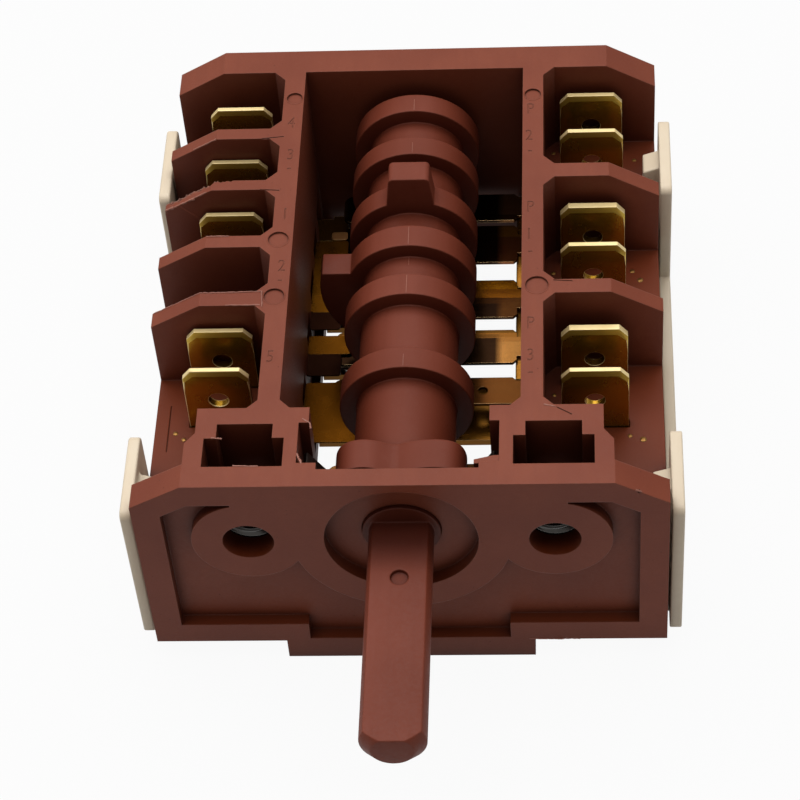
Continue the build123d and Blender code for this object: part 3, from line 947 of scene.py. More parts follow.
@dataclass
class GeometryTree:
    """A tree of Geometry Nodes with named inputs, and the values it is run with."""

    name: str
    values: dict[str, float | int | Material]
    tree: bpy.types.NodeTree = field(init=False)
    keys: dict[str, str] = field(init=False)
    bench: Bench = field(init=False)
    entry: bpy.types.NodeOutputs = field(init=False)

    def __post_init__(self) -> None:
        """Makes the tree's interface and the node that gives its inputs."""
        self.tree = bpy.data.node_groups.new(self.name, "GeometryNodeTree")
        face = self.tree.interface
        for way in ("INPUT", "OUTPUT"):
            face.new_socket(name="Geometry", in_out=way, socket_type="NodeSocketGeometry")
        self.keys = {}
        for name, value in self.values.items():
            socket = face.new_socket(name=name, in_out="INPUT", socket_type=socket_kind(value))
            self.keys[name] = socket.identifier
        self.bench = Bench(self.tree)
        self.entry = self.bench.add("NodeGroupInput").outputs

    def point_radius(self) -> Socket:
        """Reads the radius that each loose point carries."""
        store = self.bench.add(
            "GeometryNodeInputNamedAttribute", {"Name": "ring_radius"}, data_type="FLOAT"
        )
        return store.outputs["Attribute"]

    def tube(
        self,
        line: Socket,
        radius: Socket,
        sides: int,
        caps: bool = True,
        swell: object = 1.0,
    ) -> Socket:
        """Sweeps a bead along lines.

        Args:
            line: the lines to follow.
            radius: the bead's radius.
            sides: the number of its sides.
            caps: whether its ends are closed.
            swell: the share of the radius that the bead has along a line.

        Returns:
            The socket of the bead's mesh.
        """
        bead = self.bench.add(
            "GeometryNodeCurvePrimitiveCircle", {"Resolution": sides, "Radius": radius}
        )
        values = {
            "Curve": line,
            "Profile Curve": bead.outputs["Curve"],
            "Scale": swell,
            "Fill Caps": caps,
        }
        return self.bench.add("GeometryNodeCurveToMesh", values).outputs["Mesh"]

    def close(self, result: Socket) -> None:
        """Ends the tree in real geometry with the input material."""
        real = self.bench.add("GeometryNodeRealizeInstances", {"Geometry": result})
        paint = self.bench.add(
            "GeometryNodeSetMaterial",
            {"Geometry": real.outputs["Geometry"], "Material": self.entry["Material"]},
        )
        self.bench.add("NodeGroupOutput", {"Geometry": paint.outputs["Geometry"]})

    def run(self, name: str, seed_mesh: Mesh) -> Mesh:
        """Runs the tree on a mesh.

        Args:
            name: the new mesh's name.
            seed_mesh: the mesh that the tree starts from.

        Returns:
            The result as a plain mesh.
        """
        thing = link(name, seed_mesh)
        modifier = thing.modifiers.new(self.name, "NODES")
        modifier.node_group = self.tree
        for key, value in self.values.items():
            modifier[self.keys[key]] = value
        return plain_mesh(thing, name)


def points_mesh(name: str, points: list[Point], radii: list[float]) -> Mesh:
    """Loose points in millimetres, each with a radius that a tree can read."""
    mesh = bpy.data.meshes.new(name)
    mesh.from_pydata([in_metres(point) for point in points], [], [])
    store = mesh.attributes.new("ring_radius", "FLOAT", "POINT")
    store.data.foreach_set("value", [radius * MM for radius in radii])
    return mesh


@dataclass
class MouldMarks:
    """Ejector rings, bay numbers and fine grooves in the housing's moulding."""

    rib_top: float = 8.05
    ring_line: float = 0.08
    ring_rise: float = 0.035
    bead_sides: int = 8
    glyph_size: float = 2.1235
    glyph_width_share: float = 0.72
    glyph_depth: float = 0.055
    recess_depth: float = 0.2
    groove_depth: float = 0.1
    groove_width: float = 0.11
    rings: tuple[tuple[float, float, float], ...] = (
        (-11.94, 49.88, 0.85),
        (-12.4, 30.37, 1.05),
        (-12.35, 22.96, 1.05),
        (12.0, 49.8, 0.88),
        (12.45, 23.93, 1.15),
    )
    glyphs: tuple[tuple[str, float, float], ...] = (
        ("P", 11.78, 47.65),
        ("2", 11.65, 43.9),
        ("-", 11.76, 41.92),
        ("P", 11.82, 34.07),
        ("1", 11.7, 30.5),
        ("-", 11.84, 28.38),
        ("P", 11.88, 19.08),
        ("3", 11.9, 15.1),
        ("-", 11.9, 13.19),
        ("4", -12.05, 46.3),
        ("3", -11.9, 41.79),
        ("-", -11.9, 40.09),
        ("1", -11.94, 33.7),
        ("2", -11.85, 26.8),
        ("-", -11.9, 25.13),
        ("5", -12.22, 15.32),
    )
    grooves: tuple[tuple[Point, Point], ...] = (
        ((-14.9, 44.2, 8.05), (-12.7, 44.44, 8.05)),
        ((-14.6, 37.1, 8.05), (-12.7, 36.95, 8.05)),
        ((14.0, 24.5, 8.05), (15.8, 24.35, 8.05)),
        ((-23.0, 12.8, -2.6), (-23.0, 18.5, -2.6)),
        ((14.3, 8.85, 8.05), (15.65, 8.0, 8.05)),
    )

    def glyph_cutter(self, text: str, x: float, y: float) -> Thing:
        """Makes the solid that sinks one character into a rib.

        Args:
            text: the character.
            x: the middle of the character across the switch, in millimetres.
            y: its middle along the switch, in millimetres.

        Returns:
            The cutting solid.
        """
        curve = bpy.data.curves.new("bay_number", "FONT")
        curve.body = text
        curve.size = self.glyph_size * MM
        curve.align_x = "CENTER"
        curve.align_y = "CENTER"
        curve.resolution_u = 3
        curve.extrude = self.glyph_depth * MM
        mesh = plain_mesh(link("bay_number", curve), "bay_number")
        mesh.transform(Matrix.Diagonal((self.glyph_width_share, 1.0, 1.0, 1.0)))
        mesh.transform(Matrix.Translation(in_metres((x, y, self.rib_top))))
        build = bmesh.new()
        build.from_mesh(mesh)
        bmesh.ops.remove_doubles(build, verts=build.verts, dist=2 * MERGE * MM)
        bmesh.ops.recalc_face_normals(build, faces=build.faces)
        return solid_of("bay_number_cutter", build, PHENOLIC)

    def disc_cutter(self, x: float, y: float, radius: float) -> Thing:
        """Makes the disc that an ejector pin sinks into a rib."""
        place = (x, y, self.rib_top)
        return drum("ejector_cutter", place, (radius, radius), 2 * self.recess_depth, 40, PHENOLIC)

    def groove_cutter(self, start: Point, end: Point) -> Thing:
        """Makes the small bar that cuts a groove from one point to another."""
        first = Vector(start) * MM
        run = Vector(end) * MM - first
        build = bmesh.new()
        bmesh.ops.create_cube(build, size=1.0)
        build.transform(
            Matrix.Translation(first + run / 2)
            @ Matrix.Rotation(math.atan2(run.y, run.x), 4, "Z")
            @ Matrix.Diagonal((run.length, self.groove_width * MM, 2 * self.groove_depth * MM, 1.0))
        )
        return solid_of("groove_cutter", build, PHENOLIC)

    def cutters(self) -> list[Thing]:
        """Makes every solid that is cut from the ribs and floors."""
        made = [self.glyph_cutter(*glyph) for glyph in self.glyphs]
        made += [self.disc_cutter(*ring) for ring in self.rings]
        made += [self.groove_cutter(*groove) for groove in self.grooves]
        return made

    def ring_tree(self) -> GeometryTree:
        """Builds the tree that lays a thin bead round each ejector mark."""
        values = {"Bead": self.ring_line * MM, "Material": RACK.get(PHENOLIC)}
        tree = GeometryTree("ejector_rings", values)
        ring = tree.bench.add("GeometryNodeCurvePrimitiveCircle", {"Resolution": 48, "Radius": 1.0})
        place = tree.bench.add(
            "GeometryNodeInstanceOnPoints",
            {
                "Points": tree.entry["Geometry"],
                "Instance": ring.outputs["Curve"],
                "Scale": tree.point_radius(),
            },
        )
        real = tree.bench.add("GeometryNodeRealizeInstances", {"Geometry": place.outputs["Instances"]})
        line = real.outputs["Geometry"]
        tree.close(tree.tube(line, tree.entry["Bead"], self.bead_sides, caps=False))
        return tree

    def build_rings(self) -> None:
        """Lays the beads round the ejector marks."""
        height = self.rib_top - self.ring_line + self.ring_rise
        points = [(x, y, height) for x, y, _ in self.rings]
        seed = points_mesh("ejector_points", points, [radius for _, _, radius in self.rings])
        mesh = self.ring_tree().run("ejector_rings", seed)
        crease(mesh, 60)
        dress("ejector_rings", mesh, PHENOLIC, Body.SWITCH)


@dataclass
class BrokenEdges:
    """Chips broken out of the housing's edges, as loose solids that cut it."""

    seed: int = 11
    stray: float = 0.12
    rough: tuple[float, float] = (0.65, 1.15)
    sizes: tuple[float, float] = (0.6, 1.25)
    runs: tuple[tuple[Point, Point, int, float], ...] = (
        ((-24.3, 38.2, 5.3), (-19.5, 38.25, 8.2), 36, 0.56),
        ((-19.3, 38.45, 8.08), (-17.4, 38.5, 8.1), 9, 0.3),
        ((-24.3, 37.05, 5.1), (-20.4, 37.0, 7.5), 12, 0.26),
        ((-19.3, 30.95, 8.1), (-17.2, 30.95, 8.1), 6, 0.14),
        ((-24.2, 23.6, 5.2), (-19.6, 23.6, 7.95), 8, 0.16),
        ((21.3, 0.1, 7.0), (21.8, 0.1, 6.7), 2, 0.28),
    )

    def chip(self, place: Vector, radius: float, dice: random.Random) -> Thing:
        """Makes one rough solid.

        Args:
            place: its middle in millimetres.
            radius: about how far it reaches, in millimetres.
            dice: the seeded source of its roughness.

        Returns:
            The solid.
        """
        build = bmesh.new()
        bmesh.ops.create_icosphere(build, subdivisions=1, radius=radius * MM)
        for vertex in build.verts:
            vertex.co *= dice.uniform(*self.rough)
            vertex.co += place * MM
        return solid_of("edge_chip", build, BROKEN_PHENOLIC)

    def cutters(self) -> list[Thing]:
        """Makes the chips along each broken edge."""
        dice = random.Random(self.seed)
        made = []
        for start, end, count, radius in self.runs:
            for step in range(count):
                share = (step + dice.uniform(0.1, 0.9)) / count
                place = Vector(start).lerp(Vector(end), share)
                place += Vector([dice.uniform(-self.stray, self.stray) for _ in range(3)])
                made.append(self.chip(place, radius * dice.uniform(*self.sizes), dice))
        return made


@dataclass
class FrontWebs:
    """Webs that close the front recess beside the hub pad, and a shelf behind the plate."""

    inner: float = 8.3
    outer: float = 15.2
    low: float = 2.9
    high: float = 5.6
    depth: float = 1.35
    shelf: tuple[tuple[float, float], ...] = (
        (6.85, 2.5),
        (9.4, 2.5),
        (9.4, 3.45),
        (8.6, 3.4),
        (6.85, 2.95),
    )
    shelf_low: float = 6.7
    shelf_high: float = 7.97

    def solid(self) -> Thing:
        """Makes the two webs and the shelf as one object."""
        build = bmesh.new()
        for left, right in ((-self.outer, -self.inner), (self.inner, self.outer)):
            add_box(build, (left, 0.0, self.low), (right, self.depth, self.high))
        levels = [
            [build.verts.new(in_metres((x, y, z))) for x, y in self.shelf]
            for z in (self.shelf_low, self.shelf_high)
        ]
        cap_ends(build, levels)
        bridge(build, levels)
        return solid_of("front_webs", build, PHENOLIC)


@dataclass
class HousingMoulding:
    """The housing, with its webs added, its bay numbers sunk and its edges broken."""

    marks: MouldMarks
    broken: BrokenEdges
    webs: FrontWebs

    def build(self, node: Thing) -> None:
        """Copies the housing, cuts its marks and dresses it.

        Args:
            node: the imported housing.
        """
        thing = node_copy("housing_moulding", node)
        thing.data.materials.append(RACK.get(PHENOLIC))
        webs = self.webs.solid()
        combine(thing, "UNION", webs)
        cutters = self.marks.cutters() + self.broken.cutters()
        tools = bpy.data.collections.new("housing_cutters")
        bpy.context.scene.collection.children.link(tools)
        for cutter in cutters:
            tools.objects.link(cutter)
        marked = combine(thing, "DIFFERENCE")
        marked.use_self = True
        marked.material_mode = "TRANSFER"
        marked.operand_type = "COLLECTION"
        marked.collection = tools
        mesh = plain_mesh(thing, "housing_moulding")
        for cutter in [*cutters, webs]:
            bpy.data.objects.remove(cutter)
        bpy.data.collections.remove(tools)
        crease(mesh, 30)
        dress("housing_moulding", mesh, PHENOLIC, Body.SWITCH, ("housing",))
        self.marks.build_rings()


@dataclass
class MouldFlash:
    """Thin ragged flash left along the edges of a moulding, each run through some points."""

    name: str
    body: Body
    runs: tuple[tuple[Point, ...], ...]
    radius: float = 0.11
    wander: float = 0.11
    step: float = 0.1
    lump: float = 0.35
    sides: int = 6
    seed: int = 3

    def tree(self) -> GeometryTree:
        """Builds the tree that winds a ragged bead along every line."""
        values = {
            "Radius": self.radius * MM,
            "Wander": self.wander * MM,
            "Step": self.step * MM,
            "Seed": float(self.seed),
            "Material": RACK.get(FLASH_PHENOLIC),
        }
        tree = GeometryTree("mould_flash", values)
        bench = tree.bench
        line = bench.add("GeometryNodeMeshToCurve", {"Mesh": tree.entry["Geometry"]})
        points = bench.add(
            "GeometryNodeResampleCurve",
            {"Curve": line.outputs["Curve"], "Length": tree.entry["Step"]},
            mode="LENGTH",
        )
        rough = bench.add(
            "ShaderNodeTexNoise",
            {"Scale": 1.0 / (self.lump * MM), "Detail": 3.0, "W": tree.entry["Seed"]},
            noise_dimensions="4D",
        )
        shift = bench.add(
            "ShaderNodeVectorMath",
            {0: bench.centred(rough.outputs["Color"]), "Scale": tree.entry["Wander"]},
            operation="SCALE",
        )
        moved = bench.add(
            "GeometryNodeSetPosition",
            {"Geometry": points.outputs["Curve"], "Offset": shift.outputs["Vector"]},
        )
        swell = bench.spread(rough.outputs["Fac"], 0.3, 0.68, 0.4, 1.0)
        sized = bench.add(
            "GeometryNodeSetCurveRadius", {"Curve": moved.outputs["Geometry"], "Radius": swell}
        )
        tree.close(
            tree.tube(sized.outputs["Curve"], tree.entry["Radius"], self.sides, swell=swell)
        )
        return tree

    def seed_mesh(self) -> Mesh:
        """Lays the runs as loose edges."""
        corners = []
        edges = []
        for run in self.runs:
            first = len(corners)
            corners += [in_metres(point) for point in run]
            edges += [(index, index + 1) for index in range(first, len(corners) - 1)]
        mesh = bpy.data.meshes.new("flash_lines")
        mesh.from_pydata(corners, edges, [])
        return mesh

    def build(self) -> None:
        """Makes the flash and dresses it."""
        mesh = self.tree().run(self.name, self.seed_mesh())
        crease(mesh, 50)
        dress(self.name, mesh, FLASH_PHENOLIC, self.body)


HOUSING_EDGE_FLASH = MouldFlash(
    name="housing_edge_flash",
    body=Body.SWITCH,
    runs=(
        (
            (-24.2, 23.5, 5.2),
            (-21.7, 23.52, 6.65),
            (-19.45, 23.5, 8.02),
            (-16.6, 23.5, 8.06),
            (-13.5, 23.6, 8.05),
        ),
        ((-13.55, 23.6, 8.06), (-13.4, 21.6, 8.04)),
        ((-16.9, 21.9, 8.03), (-13.6, 21.88, 8.03)),
        ((-19.4, 30.85, 8.08), (-17.2, 30.85, 8.06)),
        ((-24.2, 37.2, 5.15), (-21.6, 37.2, 6.7), (-19.9, 37.15, 7.75)),
        ((-8.8, 7.85, 8.03), (-8.1, 7.4, 8.0), (-8.0, 6.9, 7.8)),
        ((-17.0, 5.7, 8.02), (-16.0, 5.6, 8.03)),
        ((-14.8, 2.42, 8.04), (-13.6, 2.38, 8.05), (-12.5, 2.36, 8.03)),
        ((13.1, 9.2, 8.05), (14.2, 8.95, 8.05)),
        ((11.3, 0.03, -15.55), (13.7, 0.02, -15.58), (16.1, 0.03, -15.55)),
        ((21.2, 0.05, 7.02), (21.75, 0.05, 6.72)),
        ((-21.9, 44.3, 6.55), (-19.5, 44.25, 8.02)),
    ),
)
HOUSING_CORNER_FLASH = MouldFlash(
    name="housing_corner_flash",
    body=Body.SWITCH,
    runs=(
        ((-9.15, 3.9, 7.9), (-8.85, 3.2, 7.95), (-8.6, 2.65, 7.95)),
        ((-24.2, 37.25, 5.2), (-23.4, 37.15, 5.7)),
        ((-21.7, 37.1, 6.7), (-21.2, 37.05, 7.0)),
    ),
    radius=0.17,
    wander=0.22,
    step=0.14,
    seed=8,
)
# A pale ridge on the star's front edge that paints its highlight.
ROTOR_FLASH_HIGHLIGHT = MouldFlash(
    name="rotor_star_flash_highlight",
    body=Body.ROTOR,
    runs=(((-4.75, 3.72, 5.0), (-3.95, 3.71, 5.35), (-3.0, 3.7, 5.52), (-2.15, 3.7, 5.4)),),
    radius=0.06,
    wander=0.05,
    seed=5,
)


@dataclass
class StakeMarks:
    """Small brass burrs where the terminals are staked into the floors."""

    places: tuple[tuple[float, float, float], ...] = (
        (21.05, 14.15, 0.22),
        (22.3, 13.7, 0.3),
        (21.7, 35.3, 0.24),
        (22.45, 34.1, 0.28),
        (22.2, 50.9, 0.22),
        (13.9, 52.1, 0.2),
        (13.85, 35.2, 0.22),
        (13.9, 19.3, 0.2),
        (-22.3, 15.05, 0.24),
        (-21.45, 14.3, 0.22),
        (-13.9, 35.6, 0.18),
        (-14.0, 50.9, 0.18),
    )
    floor: float = -2.6
    squash: float = 0.32
    seed: int = 6

    def tree(self) -> GeometryTree:
        """Builds the tree that sets a lumpy bead at every point."""
        values = {"Squash": self.squash, "Seed": self.seed, "Material": RACK.get(BURR_BRASS)}
        tree = GeometryTree("stake_burrs", values)
        bench = tree.bench
        lump = bench.add("GeometryNodeMeshIcoSphere", {"Radius": 1.0, "Subdivisions": 3})
        rough = bench.add("ShaderNodeTexNoise", {"Scale": 1.6, "Detail": 2.0})
        bent = bench.add(
            "GeometryNodeSetPosition",
            {"Geometry": lump.outputs["Mesh"], "Offset": bench.centred(rough.outputs["Color"])},
        )
        radius = tree.point_radius()
        flat = bench.math("MULTIPLY", radius, tree.entry["Squash"])
        size = bench.add("ShaderNodeCombineXYZ", {0: radius, 1: radius, 2: flat})
        turn = bench.add(
            "FunctionNodeRandomValue",
            {"Min": (0.0, 0.0, 0.0), "Max": (0.0, 0.0, math.tau), "Seed": tree.entry["Seed"]},
            data_type="FLOAT_VECTOR",
        )
        place = bench.add(
            "GeometryNodeInstanceOnPoints",
            {
                "Points": tree.entry["Geometry"],
                "Instance": bent.outputs["Geometry"],
                "Rotation": turn.outputs["Value"],
                "Scale": size.outputs[0],
            },
        )
        tree.close(place.outputs["Instances"])
        return tree

    def build(self) -> None:
        """Makes the burrs and dresses them."""
        points = [(x, y, self.floor) for x, y, _ in self.places]
        seed = points_mesh("stake_points", points, [radius for _, _, radius in self.places])
        mesh = self.tree().run("stake_burrs", seed)
        crease(mesh, 60)
        dress("stake_burrs", mesh, BURR_BRASS, Body.SWITCH)


@dataclass
class TabTerminals:
    """The brass terminals, with coined tips on their upright blades."""

    coin_height: float = 2.45
    coin_depth: float = 0.17
    coin_side: float = 0.12
    coin_top: float = 0.6
    coin_top_side: float = 0.2
    coin_corner: float = 0.45
    end_height: float = 3.0
    # The rounded edges take the second material, the painted-highlight brass.
    rounding: Rounding = Rounding(0.07, 2, 35, 16, material=1)

    def coin(self, build: BMesh, face: BMFace) -> None:
        """Sinks the rim of one broad face of a blade's tip.

        Args:
            build: the terminal's mesh.
            face: the face to coin.
        """
        toward = 1.0 if face.normal.y > 0 else -1.0
        outer = [loop.vert for loop in face.loops]
        low = min(vertex.co.z for vertex in outer)
        high = max(vertex.co.z for vertex in outer)
        middle = sum(vertex.co.x for vertex in outer) / len(outer)
        inner = []
        for vertex in outer:
            if vertex.co.z < low + TOUCH * MM:
                inner.append(vertex)
                continue
            side = 1.0 if vertex.co.x > middle else -1.0
            if vertex.co.z > high - TOUCH * MM:
                step = Vector((-side * self.coin_top_side, 0.0, -self.coin_top))
            else:
                step = Vector((-side * self.coin_side, 0.0, -self.coin_corner))
            inner.append(build.verts.new(vertex.co + step * MM))
        build.faces.remove(face)
        build.faces.new(inner)
        count = len(outer)
        for index in range(count):
            after = (index + 1) % count
            ring = []
            for vertex in (outer[index], outer[after], inner[after], inner[index]):
                if vertex not in ring:
                    ring.append(vertex)
            if len(ring) > 2:
                build.faces.new(ring).material_index = 2
        for vertex, inside in zip(outer, inner):
            if vertex is not inside:
                vertex.co.y -= toward * self.coin_depth * MM

    def tips(self, build: BMesh) -> list[BMFace]:
        """Joins each broad side of each blade's tip into one face.

        Args:
            build: the terminal's mesh, already cut at the foot of the tips.

        Returns:
            The broad faces of the tips.
        """
        foot = (self.coin_height - TOUCH) * MM
        sides: dict[tuple[float, float], list[BMFace]] = {}
        for face in build.faces:
            if abs(face.normal.y) > 0.99 and min(v.co.z for v in face.verts) > foot:
                plane = (round(face.calc_center_median().y / MM, 1), math.copysign(1.0, face.normal.y))
                sides.setdefault(plane, []).append(face)
        made = []
        for group in sides.values():
            made += bmesh.ops.dissolve_faces(build, faces=group)["region"]
        return made

    def build(self, nodes: Nodes) -> None:
        """Copies each terminal, coins its tips and dresses it.

        Args:
            nodes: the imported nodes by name.
        """
        for name, node in sorted(nodes.items()):
            if not name.startswith(("line_terminal", "load_terminal")):
                continue
            thing = node_copy(f"{name}_coined", node)
            build = bmesh.new()
            build.from_mesh(thing.data)
            bmesh.ops.bisect_plane(
                build,
                geom=build.verts[:] + build.edges[:] + build.faces[:],
                dist=0.0001 * MM,
                plane_co=(0.0, 0.0, self.coin_height * MM),
                plane_no=(0.0, 0.0, 1.0),
            )
            build.normal_update()
            for face in self.tips(build):
                self.coin(build, face)
            build.normal_update()
            bpy.data.objects.remove(thing)
            mesh = self.highlighted(mesh_of(f"{name}_blank", build), f"{name}_coined")
            dress(f"{name}_coined", mesh, BRASS, Body.SWITCH, (name,))

    def highlighted(self, mesh: Mesh, name: str) -> Mesh:
        """Breaks the terminal's edges and paints them and its tips' ends in a pale brass, as a painted
        highlight.

        Args:
            mesh: the terminal with its tips coined.
            name: the new mesh's name.

        Returns:
            The finished mesh with its three materials.
        """
        for finish in (BRASS, HIGHLIGHT_BRASS, COINED_BRASS):
            mesh.materials.append(RACK.get(finish))
        for face in mesh.polygons:
            upward = face.normal.z > 0.3 and abs(face.normal.y) < 0.5
            # Upward faces of the tips get the painted-highlight brass.
            if upward and face.center.z > self.end_height * MM:
                face.material_index = 1
        return self.rounding.finish(link(name, mesh), name)


@dataclass
class ContactRails:
    """The edges of the right-hand strips that stand out of the rib beside the moving contacts."""

    inner: float = 9.93
    outer: float = 11.05
    low: float = -10.75
    high: float = -10.06
    edge: float = 0.08
    spans: tuple[tuple[float, float], ...] = ((40.2, 53.3), (27.8, 39.9), (13.9, 27.5))

    def build(self) -> None:
        """Makes one rounded rail for each strip, from the rear to the front."""
        build = bmesh.new()
        for front, rear in self.spans:
            add_box(build, (self.inner, front, self.low), (self.outer, rear, self.high))
        bmesh.ops.bevel(
            build,
            geom=build.edges[:],
            offset=self.edge * MM,
            segments=2,
            profile=0.5,
            affect="EDGES",
        )
        mesh = mesh_of("contact_rails", build)
        crease(mesh, 40)
        dress("contact_rails", mesh, BRASS, Body.SWITCH)


@dataclass
class ContactLands:
    """Faces of the left-hand strips beside the rib, in turn with near-black sheets of painted shadow."""

    low: float = -9.45
    high: float = -9.3
    wall: float = -11.04
    corner: float = 0.3
    lands: tuple[tuple[str, StripFinish, float, float, float], ...] = (
        ("rear", LAND_BRASS, -7.6, 36.5, 46.5),
        # The two dark sheets are painted shadow.
        ("rear_shadow", SHADOW_STRIP, -7.9, 34.15, 36.5),
        ("middle", LAND_BRASS, -6.6, 30.8, 33.25),
        ("front_shadow", SHADOW_STRIP, -7.6, 27.95, 30.8),
        ("front", LAND_BRASS, -5.6, 19.3, 27.0),
    )
    tip: tuple[float, float, float, float] = (-9.4, -7.7, 46.55, 47.65)
    tip_lift: float = 0.12

    def block(
        self,
        name: str,
        finish: StripFinish,
        limits: tuple[float, float, float, float],
        lift: float = 0.0,
    ) -> None:
        """Makes one thin land with its upright corners rounded.

        Args:
            name: the piece's name.
            finish: its finish.
            limits: its left, right, front and rear in millimetres.
            lift: how much higher it lies than the rest.
        """
        left, right, front, rear = limits
        build = bmesh.new()
        add_box(build, (left, front, self.low + lift), (right, rear, self.high + lift))
        upright = [
            edge
            for edge in build.edges
            if abs(edge.verts[0].co.z - edge.verts[1].co.z) > TOUCH * MM
        ]
        bmesh.ops.bevel(
            build,
            geom=upright,
            offset=self.corner * MM,
            segments=4,
            profile=0.5,
            affect="EDGES",
        )
        mesh = mesh_of(name, build)
        crease(mesh, 40)
        dress(name, mesh, finish, Body.SWITCH)

    def build(self) -> None:
        """Lays the lands and the one bright leaf tip over them."""
        for name, finish, right, front, rear in self.lands:
            self.block(f"contact_land_{name}", finish, (self.wall, right, front, rear))
        self.block("contact_land_tip", LEAF_TIP, self.tip, self.tip_lift)


@dataclass
class SideCovers:
    """The cream side covers, with their corners rounded."""

    rounding: Rounding = Rounding(0.22, 3, 40, 20)

    def build(self, nodes: Nodes) -> None:
        """Copies each cover, rounds its edges and dresses it.

        Args:
            nodes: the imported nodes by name.
        """
        for node in ("side_cover_left", "side_cover_right"):
            name = f"{node}_rounded"
            mesh = self.rounding.finish(node_copy(name, nodes[node]), name)
            dress(name, mesh, CREAM, Body.SWITCH, (node,))


@dataclass
class DetentSprings:
    """The detent's leaf springs, with rounded strip edges and a little play at the nose."""

    nose_height: float = 1.4
    nose_reach: float = 5.8
    play: float = 0.1
    rounding: Rounding = Rounding(0.08, 2, 50, 25)

    def build(self, nodes: Nodes) -> None:
        """Copies each spring, eases its nose, rounds its edges and dresses it.

        Args:
            nodes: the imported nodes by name.
        """
        for side, node in ((-1.0, "detent_spring_left"), (1.0, "detent_spring_right")):
            name = f"{node}_rounded"
            thing = node_copy(name, nodes[node])
            for vertex in thing.data.vertices:
                reach = side * vertex.co.x / MM
                if reach < self.nose_reach and abs(vertex.co.z) < self.nose_height * MM:
                    vertex.co.x += side * self.play * MM
            mesh = self.rounding.finish(thing, name)
            dress(name, mesh, SPRING_STEEL, Body.SWITCH, (node,))


@dataclass
class Rotor:
    """The camshaft, with its gate mark and its mould's rounded edges."""

    gate: Point = (0.08, -5.3, 1.6)
    gate_radii: tuple[float, float] = (0.783, 0.87)
    gate_depth: float = 0.42
    rounding: Rounding = Rounding(0.1, 2, 35, 20)

    def build(self, node: Thing) -> None:
        """Copies the camshaft, sinks its gate mark, rounds its edges and dresses it.

        Args:
            node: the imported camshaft.
        """
        thing = node_copy("camshaft_moulding", node)
        thing.data.materials.append(RACK.get(ROTOR_MOULDING))
        cutter = drum(
            "gate_cutter", self.gate, self.gate_radii, 2 * self.gate_depth, 36, ROTOR_MOULDING
        )
        combine(thing, "DIFFERENCE", cutter)
        mesh = self.rounding.finish(thing, "camshaft_moulding")
        bpy.data.objects.remove(cutter)
        dress("camshaft_moulding", mesh, ROTOR_MOULDING, Body.ROTOR, ("camshaft",))


@dataclass
class PanelNuts:
    """Two hexagon nuts with chamfered corners and a cut thread."""

    across_flats: float = 7.0
    height: float = 3.2
    front: float = 2.4
    spread: float = 14.0
    major: float = 2.0
    minor: float = 1.66
    pitch: float = 0.7
    sides: int = 48
    face_share: float = 0.985
    chamfer_share: float = 0.58
    mouth: float = 0.25
    mouth_depth: float = 0.3
    thread_sink: float = 0.02
    thread_gap: float = 0.7
    thread_sides: int = 4

    def ring(self, build: BMesh, y: float, reach: float) -> list[BMVert]:
        """Lays one ring of corners, held inside the hexagon.

        Args:
            build: the nut's mesh.
            y: the ring's place along the nut, in millimetres.
            reach: its radius where the hexagon leaves room for it, in millimetres.

        Returns:
            The ring's corners.
        """
        corner = math.radians(30)
        made = []
        for step in range(self.sides):
            angle = math.tau * step / self.sides
            from_flat = (angle + corner) % (2 * corner) - corner
            radius = min(reach, self.across_flats / 2 / math.cos(from_flat))
            place = in_metres((radius * math.cos(angle), y, radius * math.sin(angle)))
            made.append(build.verts.new(place))
        return made

    def blank(self) -> Mesh:
        """Makes one nut's body, standing on the front of its slot, about the origin."""
        half = self.across_flats / 2
        corner = half / math.cos(math.radians(30))
        chamfer = (corner - half) * self.chamfer_share
        levels = (
            (0.0, half * self.face_share),
            (chamfer, corner),
            (self.height - chamfer, corner),
            (self.height, half * self.face_share),
            (self.height, self.major + self.mouth),
            (self.height - self.mouth_depth, self.major),
            (self.mouth_depth, self.major),
            (0.0, self.major + self.mouth),
        )
        build = bmesh.new()
        rings = [self.ring(build, y, reach) for y, reach in levels]
        bridge(build, [*rings, rings[0]])
        bmesh.ops.recalc_face_normals(build, faces=build.faces)
        return mesh_of("nut_blank", build)

    def thread_tree(self) -> GeometryTree:
        """Builds the tree that winds the thread's ridge."""
        length = self.height - self.thread_gap
        values = {
            "Radius": (self.major + self.thread_sink) * MM,
            "Ridge": (self.major - self.minor) * MM,
            "Turns": length / self.pitch,
            "Height": length * MM,
            "Material": RACK.get(ZINC),
        }
        tree = GeometryTree("nut_thread", values)
        helix = tree.bench.add(
            "GeometryNodeCurveSpiral",
            {
                "Resolution": 36,
                "Start Radius": tree.entry["Radius"],
                "End Radius": tree.entry["Radius"],
                "Rotations": tree.entry["Turns"],
                "Height": tree.entry["Height"],
            },
        )
        tree.close(tree.tube(helix.outputs["Curve"], tree.entry["Ridge"], self.thread_sides))
        return tree

    def build(self) -> None:
        """Makes both nuts as one piece."""
        thread = self.thread_tree().run("nut_thread", bpy.data.meshes.new("nut_seed"))
        end = (self.height - self.thread_gap / 2) * MM
        upright = Matrix.Rotation(math.radians(90), 4, "X")
        thread.transform(Matrix.Translation((0, end, 0)) @ upright)
        build = bmesh.new()
        for x in (-self.spread, self.spread):
            for part in (self.blank(), thread):
                start = len(build.verts)
                build.from_mesh(part)
                build.verts.ensure_lookup_table()
                for vertex in build.verts[start:]:
                    vertex.co += Vector((x, self.front, 0)) * MM
        mesh = mesh_of("panel_nuts_threaded", build)
        crease(mesh, 25)
        dress("panel_nuts_threaded", mesh, ZINC, Body.SWITCH, ("panel_nuts",))


